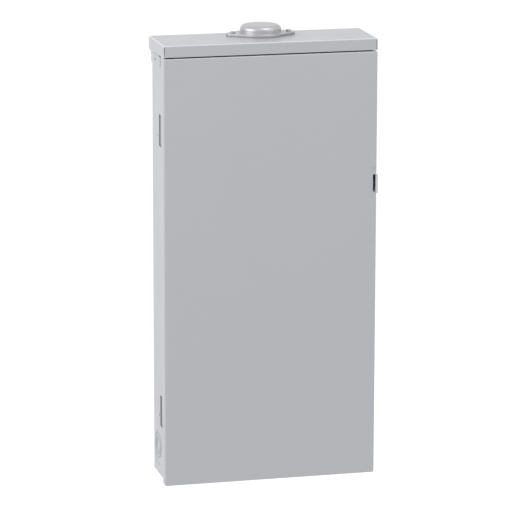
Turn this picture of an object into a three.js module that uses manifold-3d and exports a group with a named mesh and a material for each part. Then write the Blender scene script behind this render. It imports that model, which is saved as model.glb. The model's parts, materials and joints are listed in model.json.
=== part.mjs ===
// Residential load center in a rainproof steel enclosure: a folded box with a hood and a hinged door, a hub
// closing plate bolted on top, and the interior it protects: main breaker, branch breakers and bars.
// Millimetres. +X is to the right as seen from the front, +Y points to the wall, +Z is up.
// The origin is the centre of the enclosure's back face.

import * as THREE from 'three';
import { mergeVertices } from 'three/addons/utils/BufferGeometryUtils.js';
import Module from 'manifold-3d';

const wasm = await Module();
wasm.setup();

// ---------------------------------------------------------------- driving dimensions

const WIDTH = 376; // over the hood and the door
const HEIGHT = 772; // bottom edge to the hood's top
const DEPTH = 118; // wall face to the door's front
const STEEL = 1.5; // box and hood sheet
const DOOR_STEEL = 1.2; // door and inner cover sheet
const FOLD_RADIUS = 2.5; // outside radius of a fold
const GAP = 0.3; // between a piece and its neighbour

const HALF_WIDTH = WIDTH / 2;
const TOP = HEIGHT / 2;
const BOTTOM = -TOP;
const FRONT = -DEPTH;

const BODY_HALF = HALF_WIDTH - 6; // the box is narrower than the hood and the door
const BODY_FRONT = FRONT + 12; // front edge of the box's walls, behind the door's front
const WALL_INNER = BODY_HALF - STEEL;

const LIP_HEIGHT = 20; // hood's front lip
const DOOR_GAP = 2.4; // between the hood's lip and the door
const DOOR_HEIGHT = HEIGHT - LIP_HEIGHT - DOOR_GAP;
const DOOR_FLANGE = 18;
const DOOR_SHORT_FLANGE = 10;
const DOOR_CENTRE_Z = BOTTOM + DOOR_HEIGHT / 2;
const DOOR_INNER = FRONT + DOOR_STEEL;

const HINGE_X = -HALF_WIDTH + 3; // pivot line, in the gap between the box side and the door's outer plane
const HINGE_Y = FRONT + 22;
const HINGE_HEIGHTS = { upper: 231, lower: -266.5 };
const HINGE_WINDOW = { half: 28, front: HINGE_Y - 2, back: -53 };
const PIN_RADIUS = 1.3;
const KNUCKLE_BORE = PIN_RADIUS + GAP;
const KNUCKLE_RADIUS = 2.35;
const LEAF_KNUCKLE_HALF = 9.8;
const HINGE_RIVET = { y: -45, drop: 10 };

const LATCH_Z = 131.5; // middle of the latch lever
const LATCH_HALF = 16.7;
const LATCH_X = HALF_WIDTH - 2;
const LATCH_Y = -78;
const LATCH_PIN_RADIUS = 1.35;
const LATCH_STEEL = 1.2;

const HUB_Y = -41; // centre of the hub opening
const HUB_BORE = 31;
const HUB_STUD_X = 49.5;
const HUB_STUD_RADIUS = 2.3;
const HUB_FLANGE_RADIUS = 39.5;
const HUB_EAR_RADIUS = 11;
const HUB_PAD = { margin: 1.4, height: 0.5 }; // raised seat pressed into the hood under the gasket
const GASKET_THICKNESS = 0.9;
const GASKET_BOTTOM = HUB_PAD.height + GAP; // heights above the hood's top
const HUB_FLANGE_BOTTOM = GASKET_BOTTOM + GASKET_THICKNESS + GAP;
const HUB_FLANGE_THICKNESS = 3.7;
const HUB_FLANGE_TOP = HUB_FLANGE_BOTTOM + HUB_FLANGE_THICKNESS;
const DOME_RADIUS = 35.35;
const DOME_TOP = 19.4;
const DOME_WALL = 2.5;

const COVER_FRONT = -92; // front of the inner cover's sheet
const COVER_BACK = COVER_FRONT + DOOR_STEEL;
const COVER_HALF_WIDTH = 178;
const COVER_HALF_HEIGHT = 376;
const COVER_SCREW = { x: 160, z: 364, hole: 2.4 };
const SCREW_HEAD = 4.4;
const RAIL_FRONT = COVER_BACK + 0.5;

const ROW_PITCH = 25.4; // one inch per breaker space
const ROW_COUNT = 10;
const TOP_ROW_Z = 28;
const ROWS_IN_USE = 3;
const CASE_FRONT = COVER_BACK + 0.5;
const NOSE_FRONT = COVER_FRONT - 1.5;
const BASE_FRONT = -30; // front of the moulded base
const BUS_FRONT = -40;
const BUS_THICKNESS = 3;
const PAN_FACE = -19.4; // mid plane of the interior pan's plate

const MAIN_Z = 155; // centre of the main breaker
const MAIN_HALF_HEIGHT = 80;
const MAIN_HALF_WIDTH = 43;
const MAIN_NOSE = { halfWidth: 32, halfHeight: 37 };
const MAIN_PIVOT_Y = -78;
const MAIN_TILT = THREE.MathUtils.degToRad(16);

const BRANCH = { start: 7, length: 74, width: 25, pivotX: 41, pivotY: -80, nose: [24, 60] };
const BRANCH_TILT = THREE.MathUtils.degToRad(15);

const NEUTRAL_X = 124;
const NEUTRAL_RANGE = [-200, 62];

const ROUND = 16; // sides of a small round piece
const SMALL_ROUND = 12; // sides of a screw, rivet or drilled hole
const PAST = 1; // how far a cutter runs past the surface it cuts

// ---------------------------------------------------------------- finishes

const FINISHES = {
  enamel: { color: 0xb3b4b9, roughness: 0.42, metalness: 0.1 },
  castZinc: { color: 0xbdbcc2, roughness: 0.4, metalness: 0.75 },
  zincPlate: { color: 0xa9a9a6, roughness: 0.35, metalness: 0.85 },
  galvanized: { color: 0xb8babb, roughness: 0.5, metalness: 0.7 },
  aluminium: { color: 0xc9cbcc, roughness: 0.35, metalness: 0.9 },
  blackMoulding: { color: 0x1c1c1e, roughness: 0.55, metalness: 0 },
  handlePlastic: { color: 0x26262a, roughness: 0.4, metalness: 0 },
  rubber: { color: 0x2b2b2b, roughness: 0.85, metalness: 0 },
  greenScrew: { color: 0x2f8a4a, roughness: 0.4, metalness: 0.6 },
  card: { color: 0xf1f0ea, roughness: 0.9, metalness: 0 },
};

// ---------------------------------------------------------------- solids from three.js geometry

// A closed three.js geometry as a solid: positions only, shared vertices merged, no collapsed triangles.
function solidOf(geometry) {
  const plain = geometry.clone();
  plain.deleteAttribute('normal');
  plain.deleteAttribute('uv');
  const merged = mergeVertices(plain, 1e-4);
  const index = merged.index.array;
  const triangles = [];
  for (let i = 0; i < index.length; i += 3) {
    const [a, b, c] = [index[i], index[i + 1], index[i + 2]];
    if (a !== b && b !== c && c !== a) {
      triangles.push(a, b, c);
    }
  }
  const mesh = new wasm.Mesh({
    numProp: 3,
    vertProperties: new Float32Array(merged.attributes.position.array),
    triVerts: new Uint32Array(triangles),
  });
  return new wasm.Manifold(mesh);
}

function geometryOf(solid) {
  const mesh = solid.getMesh();
  const geometry = new THREE.BufferGeometry();
  geometry.setAttribute('position', new THREE.BufferAttribute(mesh.vertProperties.slice(), 3));
  geometry.setIndex(new THREE.BufferAttribute(mesh.triVerts.slice(), 1));
  geometry.computeVertexNormals();
  return geometry;
}

const join = (solids) => solids.reduce((whole, piece) => whole.add(piece));

const cut = (solid, cutters) => cutters.reduce((whole, cutter) => whole.subtract(cutter), solid);

const between = (a, b) => [Math.min(a, b), Math.max(a, b)];

// A box given by its [low, high] range on each axis.
function block(x, y, z) {
  const geometry = new THREE.BoxGeometry(x[1] - x[0], y[1] - y[0], z[1] - z[0]);
  geometry.translate((x[0] + x[1]) / 2, (y[0] + y[1]) / 2, (z[0] + z[1]) / 2);
  return solidOf(geometry);
}

// How the two axes of an outline and its extrusion map to the part's axes.
const BASES = {
  x: new THREE.Matrix4().set(0, 0, 1, 0, 1, 0, 0, 0, 0, 1, 0, 0, 0, 0, 0, 1), // outline in (y, z)
  y: new THREE.Matrix4().set(1, 0, 0, 0, 0, 0, -1, 0, 0, 1, 0, 0, 0, 0, 0, 1), // outline in (x, z)
  z: new THREE.Matrix4(), // outline in (x, y)
};

// An outline extruded along an axis, from range[0] to range[1].
function prism(axis, outline, range) {
  const shape = outline instanceof THREE.Shape ? outline : new THREE.Shape(outline);
  const depth = range[1] - range[0];
  const geometry = new THREE.ExtrudeGeometry(shape, { depth, bevelEnabled: false, curveSegments: 4 });
  geometry.translate(0, 0, axis === 'y' ? -range[1] : range[0]);
  geometry.applyMatrix4(BASES[axis]);
  return solidOf(geometry);
}

// A cylinder along an axis through a centre given on the other two axes, in x, y, z order.
function rod(axis, centre, radius, range, sides = ROUND) {
  return prism(axis, arc(centre, radius, 0, 360, sides).slice(0, -1), range);
}

// A solid of revolution about Z from a profile of [radius, z] points, lowest first.
function turned(profile, segments = 36) {
  const points = profile.map(([radius, z]) => new THREE.Vector2(radius, z));
  const geometry = new THREE.LatheGeometry(points, segments);
  geometry.rotateX(Math.PI / 2);
  return solidOf(geometry);
}

// Points of a circular arc; angles in degrees.
function arc(centre, radius, from, to, steps) {
  return Array.from({ length: steps + 1 }, (_, i) => {
    const angle = THREE.MathUtils.degToRad(from + ((to - from) * i) / steps);
    return new THREE.Vector2(centre[0] + radius * Math.cos(angle), centre[1] + radius * Math.sin(angle));
  });
}

// The outline of a bent strip with mitred bends: the path pushed out to both sides by half the thickness.
function strip(path, thickness) {
  const points = path.map(([x, y]) => new THREE.Vector2(x, y));
  const sides = [[], []];
  points.forEach((point, i) => {
    const before = point.clone().sub(points[i - 1] ?? point);
    const after = (points[i + 1] ?? point).clone().sub(point);
    const into = (before.length() > 0 ? before : after).normalize();
    const out = (after.length() > 0 ? after : before).normalize();
    const along = into.clone().add(out).normalize();
    const normal = new THREE.Vector2(-along.y, along.x);
    const reach = thickness / 2 / along.dot(into);
    sides[0].push(point.clone().addScaledVector(normal, reach));
    sides[1].unshift(point.clone().addScaledVector(normal, -reach));
  });
  return [...sides[0], ...sides[1]];
}

// A bar along Z with its two corners on the y = 0 side rounded.
function roundedSlab(width, depth, radius, length) {
  const half = width / 2;
  const outline = [
    new THREE.Vector2(half, depth),
    new THREE.Vector2(-half, depth),
    ...arc([radius - half, radius], radius, 180, 270, 4),
    ...arc([half - radius, radius], radius, 270, 360, 4),
  ];
  return prism('z', outline, [-length / 2, length / 2]);
}

// A sheet with a flange folded along all four edges. The face lies at y = 0 and the flanges run to y = depth.
function tray(width, height, depth, thickness) {
  const shell = (w, h, d, r) => {
    const across = roundedSlab(w, d, r, h);
    const upright = roundedSlab(h, d, r, w).rotate([0, 90, 0]);
    return across.intersect(upright);
  };
  const inner = shell(width - 2 * thickness, height - 2 * thickness, depth, FOLD_RADIUS - thickness);
  return shell(width, height, depth, FOLD_RADIUS).subtract(inner.translate([0, thickness, 0]));
}

// Ring groove of a knockout on a face normal to an axis, to be cut from the sheet.
function knockoutGroove(axis, centre, radius, range) {
  const width = 0.8;
  const sides = 20;
  return rod(axis, centre, radius, range, sides).subtract(rod(axis, centre, radius - width, range, sides));
}

// ---------------------------------------------------------------- the model

const model = new THREE.Group();

function addPart(parent, name, solid, finish) {
  const mesh = new THREE.Mesh(geometryOf(solid), new THREE.MeshStandardMaterial(FINISHES[finish]));
  mesh.name = name;
  parent.add(mesh);
  return mesh;
}

// ---------------------------------------------------------------- enclosure

const SIDE_KNOCKOUT = { y: -35, z: BOTTOM + 51.5 };
const KNOCKOUT = { small: 11.1, inner: 21.8, outer: 31, outerShift: [-7.1, -2.4] };
const SMALL_KNOCKOUT_X = 95;
const KNOCKOUT_DEPTH = 0.6;
const WALL_HOLE = { radius: 3.5, places: [-300, 300].flatMap((z) => [-110, 110].map((x) => [x, z])) };
const INTERIOR_SCREW = { hole: 2.3, left: [-146, 250], right: [146, -230] };
const SIDES = { left: -1, right: 1 };
const HOOD_RIVET = { y: -30, z: TOP - 36 };
const RIVET = { hole: 1.9, head: 2.8, headHeight: 0.8, shank: 1.6, tail: 2.4, tailLength: 1.6, play: 0.4 };

// Back wall and both side walls in one folded sheet, with its windows, holes and knockouts.
function enclosureBody() {
  const height = HEIGHT - 2 * STEEL - 2 * GAP;
  const outside = roundedSlab(2 * BODY_HALF, -BODY_FRONT, FOLD_RADIUS, height);
  const inside = roundedSlab(2 * WALL_INNER, DEPTH, FOLD_RADIUS - STEEL, height + 2 * PAST);
  const shell = outside.subtract(inside.translate([0, STEEL, 0])).rotate([180, 0, 0]);
  const leftWall = [-BODY_HALF - PAST, -WALL_INNER + PAST];
  const backWall = [-STEEL - PAST, PAST];
  const cutters = [];
  for (const z of Object.values(HINGE_HEIGHTS)) {
    const tall = [z - HINGE_WINDOW.half, z + HINGE_WINDOW.half];
    cutters.push(block(leftWall, [HINGE_WINDOW.front, HINGE_WINDOW.back], tall));
    cutters.push(rod('x', [HINGE_RIVET.y, z - HINGE_RIVET.drop], RIVET.hole, leftWall, SMALL_ROUND));
  }
  for (const place of WALL_HOLE.places) {
    cutters.push(rod('y', place, WALL_HOLE.radius, backWall));
  }
  for (const place of [INTERIOR_SCREW.left, INTERIOR_SCREW.right]) {
    cutters.push(rod('y', place, INTERIOR_SCREW.hole, backWall, SMALL_ROUND));
  }
  for (const side of Object.values(SIDES)) {
    const wall = between(side * (BODY_HALF + PAST), side * (WALL_INNER - PAST));
    const skin = between(side * (BODY_HALF + PAST), side * (BODY_HALF - KNOCKOUT_DEPTH));
    cutters.push(rod('x', [HOOD_RIVET.y, HOOD_RIVET.z], RIVET.hole, wall, SMALL_ROUND));
    cutters.push(knockoutGroove('x', [SIDE_KNOCKOUT.y, SIDE_KNOCKOUT.z], KNOCKOUT.inner, skin));
    const [shiftY, shiftZ] = KNOCKOUT.outerShift;
    const outerCentre = [SIDE_KNOCKOUT.y + shiftY, SIDE_KNOCKOUT.z + shiftZ];
    cutters.push(knockoutGroove('x', outerCentre, KNOCKOUT.outer, skin));
  }
  return cut(shell, cutters);
}

// Bottom plate with flanges turned up inside the box's three walls. The front edge is plain: a tray of twice
// the depth, cut in two.
function bottomEndWall() {
  const depth = -BODY_FRONT - STEEL - GAP;
  const flange = 9;
  const low = BOTTOM + GAP;
  const plate = tray(2 * (WALL_INNER - GAP), 2 * depth, flange, STEEL).rotate([90, 0, 0]);
  const frontHalf = [BODY_FRONT - depth - PAST, BODY_FRONT];
  const skin = [low - PAST, low + KNOCKOUT_DEPTH];
  const middle = BODY_FRONT / 2;
  const cutters = [
    block([-BODY_HALF, BODY_HALF], frontHalf, [low - PAST, low + flange + PAST]),
    knockoutGroove('z', [0, middle], KNOCKOUT.inner, skin),
    knockoutGroove('z', [0, middle], KNOCKOUT.outer, skin),
    knockoutGroove('z', [-SMALL_KNOCKOUT_X, middle], KNOCKOUT.small, skin),
    knockoutGroove('z', [SMALL_KNOCKOUT_X, middle], KNOCKOUT.small, skin),
  ];
  return cut(plate.translate([0, BODY_FRONT, low]), cutters);
}

// Top cap: a plate with a front lip and side flanges. On each side a joggle with a drain slot leads down to a
// tab that laps the box.
function hood() {
  const lipBottom = TOP - LIP_HEIGHT;
  const flangeBottom = lipBottom - 0.6;
  const cap = tray(WIDTH, DEPTH, TOP - flangeBottom, STEEL).rotate([-90, 0, 0]);
  const seat = prism('z', hubOutline(HUB_PAD.margin), [TOP - STEEL / 2, TOP + HUB_PAD.height]);
  const returnX = [-HALF_WIDTH + 5, HALF_WIDTH - 5];
  const lipReturn = block(returnX, [FRONT + 0.6, FRONT + 8], [lipBottom, lipBottom + DOOR_STEEL]);
  const tabX = BODY_HALF + GAP + STEEL / 2;
  const flangeX = HALF_WIDTH - STEEL / 2;
  const joggleEnd = flangeBottom - 6.9;
  const joggle = [
    [flangeX, flangeBottom + 2],
    [flangeX, flangeBottom],
    [tabX, joggleEnd],
    [tabX, joggleEnd - 16.5],
  ];
  const tabDepth = [-68, 0];
  const tabs = Object.values(SIDES).map((side) => {
    const path = joggle.map(([x, z]) => [side * x, z]);
    return prism('y', strip(path, STEEL), tabDepth);
  });
  const backFlange = block(
    [-BODY_HALF - 3, BODY_HALF + 3],
    [-STEEL - GAP, PAST],
    [flangeBottom - PAST, TOP - STEEL],
  );
  const lipTrim = block(
    [-HALF_WIDTH + STEEL, HALF_WIDTH - STEEL],
    [FRONT - PAST, FRONT + STEEL + PAST],
    [flangeBottom - PAST, lipBottom],
  );
  const topSheet = [TOP - 2 * STEEL, TOP + 2 * HUB_PAD.height];
  const cutters = [backFlange, lipTrim, rod('z', [0, HUB_Y], HUB_BORE, topSheet, 32)];
  for (const side of Object.values(SIDES)) {
    const seamWidth = 0.9;
    const seam = between(side * (flangeX + STEEL / 2 - STEEL), side * (HALF_WIDTH - STEEL - seamWidth));
    const wall = between(side * (HALF_WIDTH + PAST), side * BODY_HALF);
    cutters.push(block(seam, [FRONT - PAST, FRONT + 9], [flangeBottom - PAST, TOP - FOLD_RADIUS]));
    cutters.push(block(wall, [-51, -43], [joggleEnd + 1, flangeBottom - 1]));
    cutters.push(rod('x', [HOOD_RIVET.y, HOOD_RIVET.z], RIVET.hole, wall, SMALL_ROUND));
    cutters.push(rod('z', [side * HUB_STUD_X, HUB_Y], HUB_STUD_RADIUS + GAP, topSheet, SMALL_ROUND));
  }
  const placed = [cap.translate([0, FRONT / 2, TOP]), seat.translate([0, HUB_Y, 0])];
  return cut(join([...placed, lipReturn, ...tabs]), cutters);
}

// A blind rivet along X, its head on the -X side: a low head and a shank with a bulged tail.
function rivet(grip) {
  const { head, headHeight, shank, tail, tailLength, play } = RIVET;
  return join([
    rod('x', [0, 0], head, [-headHeight, 0], SMALL_ROUND),
    rod('x', [0, 0], shank, [-play, grip + play], SMALL_ROUND),
    rod('x', [0, 0], tail, [grip, grip + tailLength], SMALL_ROUND),
  ]);
}

function addRivet(name, x, y, z, grip) {
  const mesh = addPart(model, name, rivet(grip), 'enamel');
  mesh.position.set(x, y, z);
  if (x > 0) {
    mesh.rotation.z = Math.PI;
  }
}

// ---------------------------------------------------------------- hub closing plate

// Lozenge of a large circle and two ear circles joined by their common tangents, with a margin all round.
function hubOutline(margin = 0) {
  const reach = HUB_STUD_X;
  const steps = 8;
  const slope = THREE.MathUtils.radToDeg(Math.acos((HUB_FLANGE_RADIUS - HUB_EAR_RADIUS) / reach));
  return new THREE.Shape([
    ...arc([0, 0], HUB_FLANGE_RADIUS + margin, slope, 180 - slope, steps),
    ...arc([-reach, 0], HUB_EAR_RADIUS + margin, 180 - slope, 180 + slope, steps),
    ...arc([0, 0], HUB_FLANGE_RADIUS + margin, 180 + slope, 360 - slope, steps),
    ...arc([reach, 0], HUB_EAR_RADIUS + margin, -slope, slope, steps),
  ]);
}

function hubStudHoles(range) {
  return [-HUB_STUD_X, HUB_STUD_X].map((x) => rod('z', [x, 0], HUB_STUD_RADIUS + GAP, range, SMALL_ROUND));
}

function hubGasket() {
  const through = [-PAST, GASKET_THICKNESS + PAST];
  const cutters = [rod('z', [0, 0], HUB_BORE - 1, through, 32), ...hubStudHoles(through)];
  return cut(prism('z', hubOutline(), [0, GASKET_THICKNESS]), cutters);
}

// Half profile of the dome from its wall over the shoulder to the middle of its top.
function domeProfile(radius, top) {
  const shoulder = { run: 9.5, drop: 7.5, steps: 4 };
  const points = Array.from({ length: shoulder.steps + 1 }, (_, i) => {
    const angle = (i * Math.PI) / 2 / shoulder.steps;
    return [radius - shoulder.run * (1 - Math.cos(angle)), top - shoulder.drop * (1 - Math.sin(angle))];
  });
  return [...points, [0, top]];
}

// Cast cap: the lozenge flange and a hollow dome with a rounded shoulder, open underneath.
function hubClosingPlate() {
  const height = DOME_TOP - HUB_FLANGE_BOTTOM;
  const draft = 0.4;
  const dome = turned([[0, 0], [DOME_RADIUS + draft, 0], ...domeProfile(DOME_RADIUS, height)]);
  const inner = DOME_RADIUS - DOME_WALL;
  const hollow = turned([[0, -PAST], [inner, -PAST], ...domeProfile(inner, height - DOME_WALL)]);
  const flange = prism('z', hubOutline(), [0, HUB_FLANGE_THICKNESS]);
  return cut(flange.add(dome), [hollow, ...hubStudHoles([-PAST, HUB_FLANGE_THICKNESS + PAST])]);
}

// A stud with a flat round head below the hood's sheet. Its foot is at z = 0 on the hood's top.
function hubStud() {
  const head = { radius: 4.5, height: 2, top: -STEEL - GAP };
  const end = 9.2;
  return join([
    rod('z', [0, 0], head.radius, [head.top - head.height, head.top], SMALL_ROUND),
    rod('z', [0, 0], HUB_STUD_RADIUS, [head.top - head.height / 2, end], SMALL_ROUND),
  ]);
}

function hubNut() {
  const height = 2.4;
  const hexagon = rod('z', [0, 0], 4.6, [0, height], 6);
  return hexagon.subtract(rod('z', [0, 0], HUB_STUD_RADIUS + GAP, [-PAST, height + PAST], SMALL_ROUND));
}

function addHub() {
  const hub = new THREE.Group();
  hub.position.set(0, HUB_Y, TOP);
  model.add(hub);
  addPart(hub, 'hub_gasket', hubGasket(), 'rubber').position.z = GASKET_BOTTOM;
  addPart(hub, 'hub_closing_plate', hubClosingPlate(), 'castZinc').position.z = HUB_FLANGE_BOTTOM;
  for (const [name, side] of Object.entries(SIDES)) {
    const x = side * HUB_STUD_X;
    addPart(hub, `hub_stud_${name}`, hubStud(), 'zincPlate').position.x = x;
    addPart(hub, `hub_nut_${name}`, hubNut(), 'zincPlate').position.set(x, 0, HUB_FLANGE_TOP + GAP);
  }
}

// ---------------------------------------------------------------- door and hinges

const RECESS = { left: HALF_WIDTH - 15.4, ramp: 6.3, depth: 1.2, bottom: BOTTOM + 494.5, top: BOTTOM + 548 };
const CUTOUT = { left: HALF_WIDTH - 6.6, bottom: BOTTOM + 503.5, top: BOTTOM + 535, radius: 2.2 };

// Slope from the door's face down to the floor of the latch recess, as a strip of sheet.
function recessSheet() {
  const start = FRONT + DOOR_STEEL / 2;
  const floor = start + RECESS.depth;
  const end = HALF_WIDTH - DOOR_STEEL + 0.1;
  const path = [[RECESS.left, start], [RECESS.left + RECESS.ramp, floor], [end, floor]];
  return prism('z', strip(path, DOOR_STEEL), [RECESS.bottom - DOOR_STEEL, RECESS.top + DOOR_STEEL]);
}

// What the recess takes away in front of that sheet.
function recessCutter() {
  const floor = FRONT + RECESS.depth;
  const outline = [
    [RECESS.left, FRONT],
    [RECESS.left + RECESS.ramp, floor],
    [HALF_WIDTH + PAST, floor],
    [HALF_WIDTH + PAST, FRONT - PAST],
    [RECESS.left, FRONT - PAST],
  ];
  return prism('z', outline.map(([x, y]) => new THREE.Vector2(x, y)), [RECESS.bottom, RECESS.top]);
}

// The cut-out in the recess, open to the door's edge.
function cutoutCutter() {
  const { left, bottom, top, radius } = CUTOUT;
  const outline = [
    new THREE.Vector2(HALF_WIDTH + PAST, bottom),
    new THREE.Vector2(HALF_WIDTH + PAST, top),
    ...arc([left + radius, top - radius], radius, 90, 180, 4),
    ...arc([left + radius, bottom + radius], radius, 180, 270, 4),
  ];
  return prism('y', outline, [FRONT - PAST, FRONT + RECESS.depth + 2 * DOOR_STEEL]);
}

// Folded pan with deep side flanges, a stamped recess at the latch, and a cut-out for the latch lever.
function doorPanel() {
  const pan = tray(WIDTH, DOOR_HEIGHT, DOOR_FLANGE, DOOR_STEEL).translate([0, FRONT, DOOR_CENTRE_Z]);
  const inner = HALF_WIDTH - DOOR_STEEL;
  const flangeEnd = FRONT + DOOR_FLANGE + PAST;
  const beyondShort = [FRONT + DOOR_SHORT_FLANGE, flangeEnd];
  const doorTop = BOTTOM + DOOR_HEIGHT;
  const leverGap = [LATCH_Z - LATCH_HALF - 0.6, LATCH_Z + LATCH_HALF + 1];
  const cutters = [
    recessCutter(),
    cutoutCutter(),
    block([inner - PAST, HALF_WIDTH + PAST], [FRONT - PAST, flangeEnd], leverGap),
    block([-inner, inner], beyondShort, [BOTTOM - PAST, BOTTOM + FOLD_RADIUS]),
    block([-inner, inner], beyondShort, [doorTop - FOLD_RADIUS, doorTop + PAST]),
  ];
  return cut(pan.add(recessSheet()), cutters);
}

// The hinge pieces are drawn about the pivot line and the hinge's middle height.
const knuckle = (range) => rod('z', [0, 0], KNUCKLE_RADIUS, range, 20);
const knuckleBore = () => rod('z', [0, 0], KNUCKLE_BORE, [-2 * HINGE_WINDOW.half, 2 * HINGE_WINDOW.half], 20);

// Door half: a plate inside the door's flange with one knuckle.
function hingeLeaf() {
  const thickness = 1;
  const flangeInside = -HALF_WIDTH + DOOR_STEEL + GAP - HINGE_X;
  const plateX = [flangeInside, flangeInside + thickness];
  const plateEnd = -7;
  const knuckleRange = [-LEAF_KNUCKLE_HALF, LEAF_KNUCKLE_HALF];
  const plate = block(plateX, [-18, plateEnd], [-25, 25]);
  const neck = block(plateX, [plateEnd - PAST, -1.75], knuckleRange);
  return join([plate, neck, knuckle(knuckleRange)]).subtract(knuckleBore());
}

// Box half: a plate riveted inside the side wall, with two arms through the window that end in knuckles.
function hingeBracket() {
  const plateX = -WALL_INNER + 0.8 + STEEL / 2 - HINGE_X;
  const plateEnd = -38 - HINGE_Y;
  const plateHalf = HINGE_WINDOW.half + 6;
  const bend = [plateX, 12];
  const arm = strip([[1.4, 1.4], bend, [plateX, bend[1] + 4]], STEEL);
  const pieces = [prism('z', strip([bend, [plateX, plateEnd]], STEEL), [-plateHalf, plateHalf])];
  for (const side of [-1, 1]) {
    const range = between(side * (LEAF_KNUCKLE_HALF + 0.4), side * (HINGE_WINDOW.half - 0.6));
    pieces.push(prism('z', arm, range), knuckle(range));
  }
  const rivetAt = [HINGE_RIVET.y - HINGE_Y, -HINGE_RIVET.drop];
  const rivetHole = rod('x', rivetAt, RIVET.hole, [plateX - 2 * STEEL, plateX + 2 * STEEL], SMALL_ROUND);
  return cut(join(pieces), [knuckleBore(), rivetHole]);
}

function hingePin() {
  const end = HINGE_WINDOW.half + 0.4;
  const head = { radius: 2.2, height: 1 };
  const shaft = rod('z', [0, 0], PIN_RADIUS, [-end - 0.6, end]);
  return shaft.add(rod('z', [0, 0], head.radius, [end - 0.6, end + head.height]));
}

function addHinges() {
  const rivetX = -BODY_HALF - GAP;
  const rivetGrip = 4.5;
  for (const [place, z] of Object.entries(HINGE_HEIGHTS)) {
    const hinge = new THREE.Group();
    hinge.position.set(HINGE_X, HINGE_Y, z);
    model.add(hinge);
    addPart(hinge, `hinge_bracket_${place}`, hingeBracket(), 'enamel');
    addPart(hinge, `hinge_leaf_${place}`, hingeLeaf(), 'enamel');
    addPart(hinge, `hinge_pin_${place}`, hingePin(), 'zincPlate');
    addRivet(`hinge_rivet_${place}`, rivetX, HINGE_RIVET.y, z - HINGE_RIVET.drop, rivetGrip);
  }
}

// Blank circuit directory held inside the door.
function directoryCard() {
  return block([-85, 85], [DOOR_INNER + GAP, DOOR_INNER + 2 * GAP], [-130, 110]);
}

// ---------------------------------------------------------------- latch

// The latch pieces are drawn about the latch pin and the lever's middle height.
const LATCH_COIL_HALF = 4.5;
const latchBore = () => rod('z', [0, 0], LATCH_PIN_RADIUS + GAP, [-2 * LATCH_HALF, 2 * LATCH_HALF]);

// Spring-steel lever: two curled knuckles, an arm to the front, and a finger lip past the door's edge.
function latchLever() {
  const armX = HALF_WIDTH - DOOR_STEEL / 2 - LATCH_X;
  const lip = { x: armX + 3.8, y: FRONT + 3.6 - LATCH_Y };
  const knuckleRadius = 2.2;
  const arm = strip([[armX, -4], [armX, lip.y], [lip.x, lip.y]], LATCH_STEEL);
  const curl = strip([[armX, -5], [armX, -1.5], [0.9, 1.4]], LATCH_STEEL);
  const pieces = [prism('z', arm, [-LATCH_HALF, LATCH_HALF])];
  for (const side of [-1, 1]) {
    const range = between(side * (LATCH_COIL_HALF + 0.5), side * LATCH_HALF);
    pieces.push(rod('z', [0, 0], knuckleRadius, range), prism('z', curl, range));
  }
  return join(pieces).subtract(latchBore());
}

// A plate on the box's side wall with two ears that hold the latch pin.
function latchBracket() {
  const wall = BODY_HALF + GAP - LATCH_X;
  const ear = { start: LATCH_HALF + 0.8, thickness: 1.2, x: [wall, 2], y: [-6, 6] };
  const plateHalf = LATCH_HALF + 2;
  const pieces = [block([wall, wall + 1], [-9, 14], [-plateHalf, plateHalf])];
  for (const side of [-1, 1]) {
    pieces.push(block(ear.x, ear.y, between(side * ear.start, side * (ear.start + ear.thickness))));
  }
  return join(pieces).subtract(latchBore());
}

function latchPin() {
  const end = LATCH_HALF + 2.6;
  const head = { radius: 2, height: 0.9 };
  const shaft = rod('z', [0, 0], LATCH_PIN_RADIUS, [-end, end]);
  return shaft.add(rod('z', [0, 0], head.radius, [end - GAP, end + head.height]));
}

// Torsion spring: its coil around the pin, one leg on the bracket's plate and one behind the lever's arm.
function latchSpring() {
  const wire = 0.6;
  const coil = rod('z', [0, 0], 2.3, [-LATCH_COIL_HALF, LATCH_COIL_HALF]);
  const wallLeg = block([-2.2, -2.2 + wire], [0, 11], [-LATCH_COIL_HALF, -LATCH_COIL_HALF + wire]);
  const armLeg = block([-0.9, -0.9 + wire], [-16, -1.9], [LATCH_COIL_HALF - wire, LATCH_COIL_HALF]);
  return join([coil.subtract(latchBore()), wallLeg, armLeg]);
}

function addLatch() {
  const latch = new THREE.Group();
  latch.position.set(LATCH_X, LATCH_Y, LATCH_Z);
  model.add(latch);
  addPart(latch, 'latch_bracket', latchBracket(), 'zincPlate');
  addPart(latch, 'latch_pin', latchPin(), 'zincPlate');
  addPart(latch, 'latch_lever', latchLever(), 'zincPlate');
  addPart(latch, 'latch_spring', latchSpring(), 'zincPlate');
}

// ---------------------------------------------------------------- inner cover and its rails

const rowZ = (row) => TOP_ROW_Z - row * ROW_PITCH;

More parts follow.
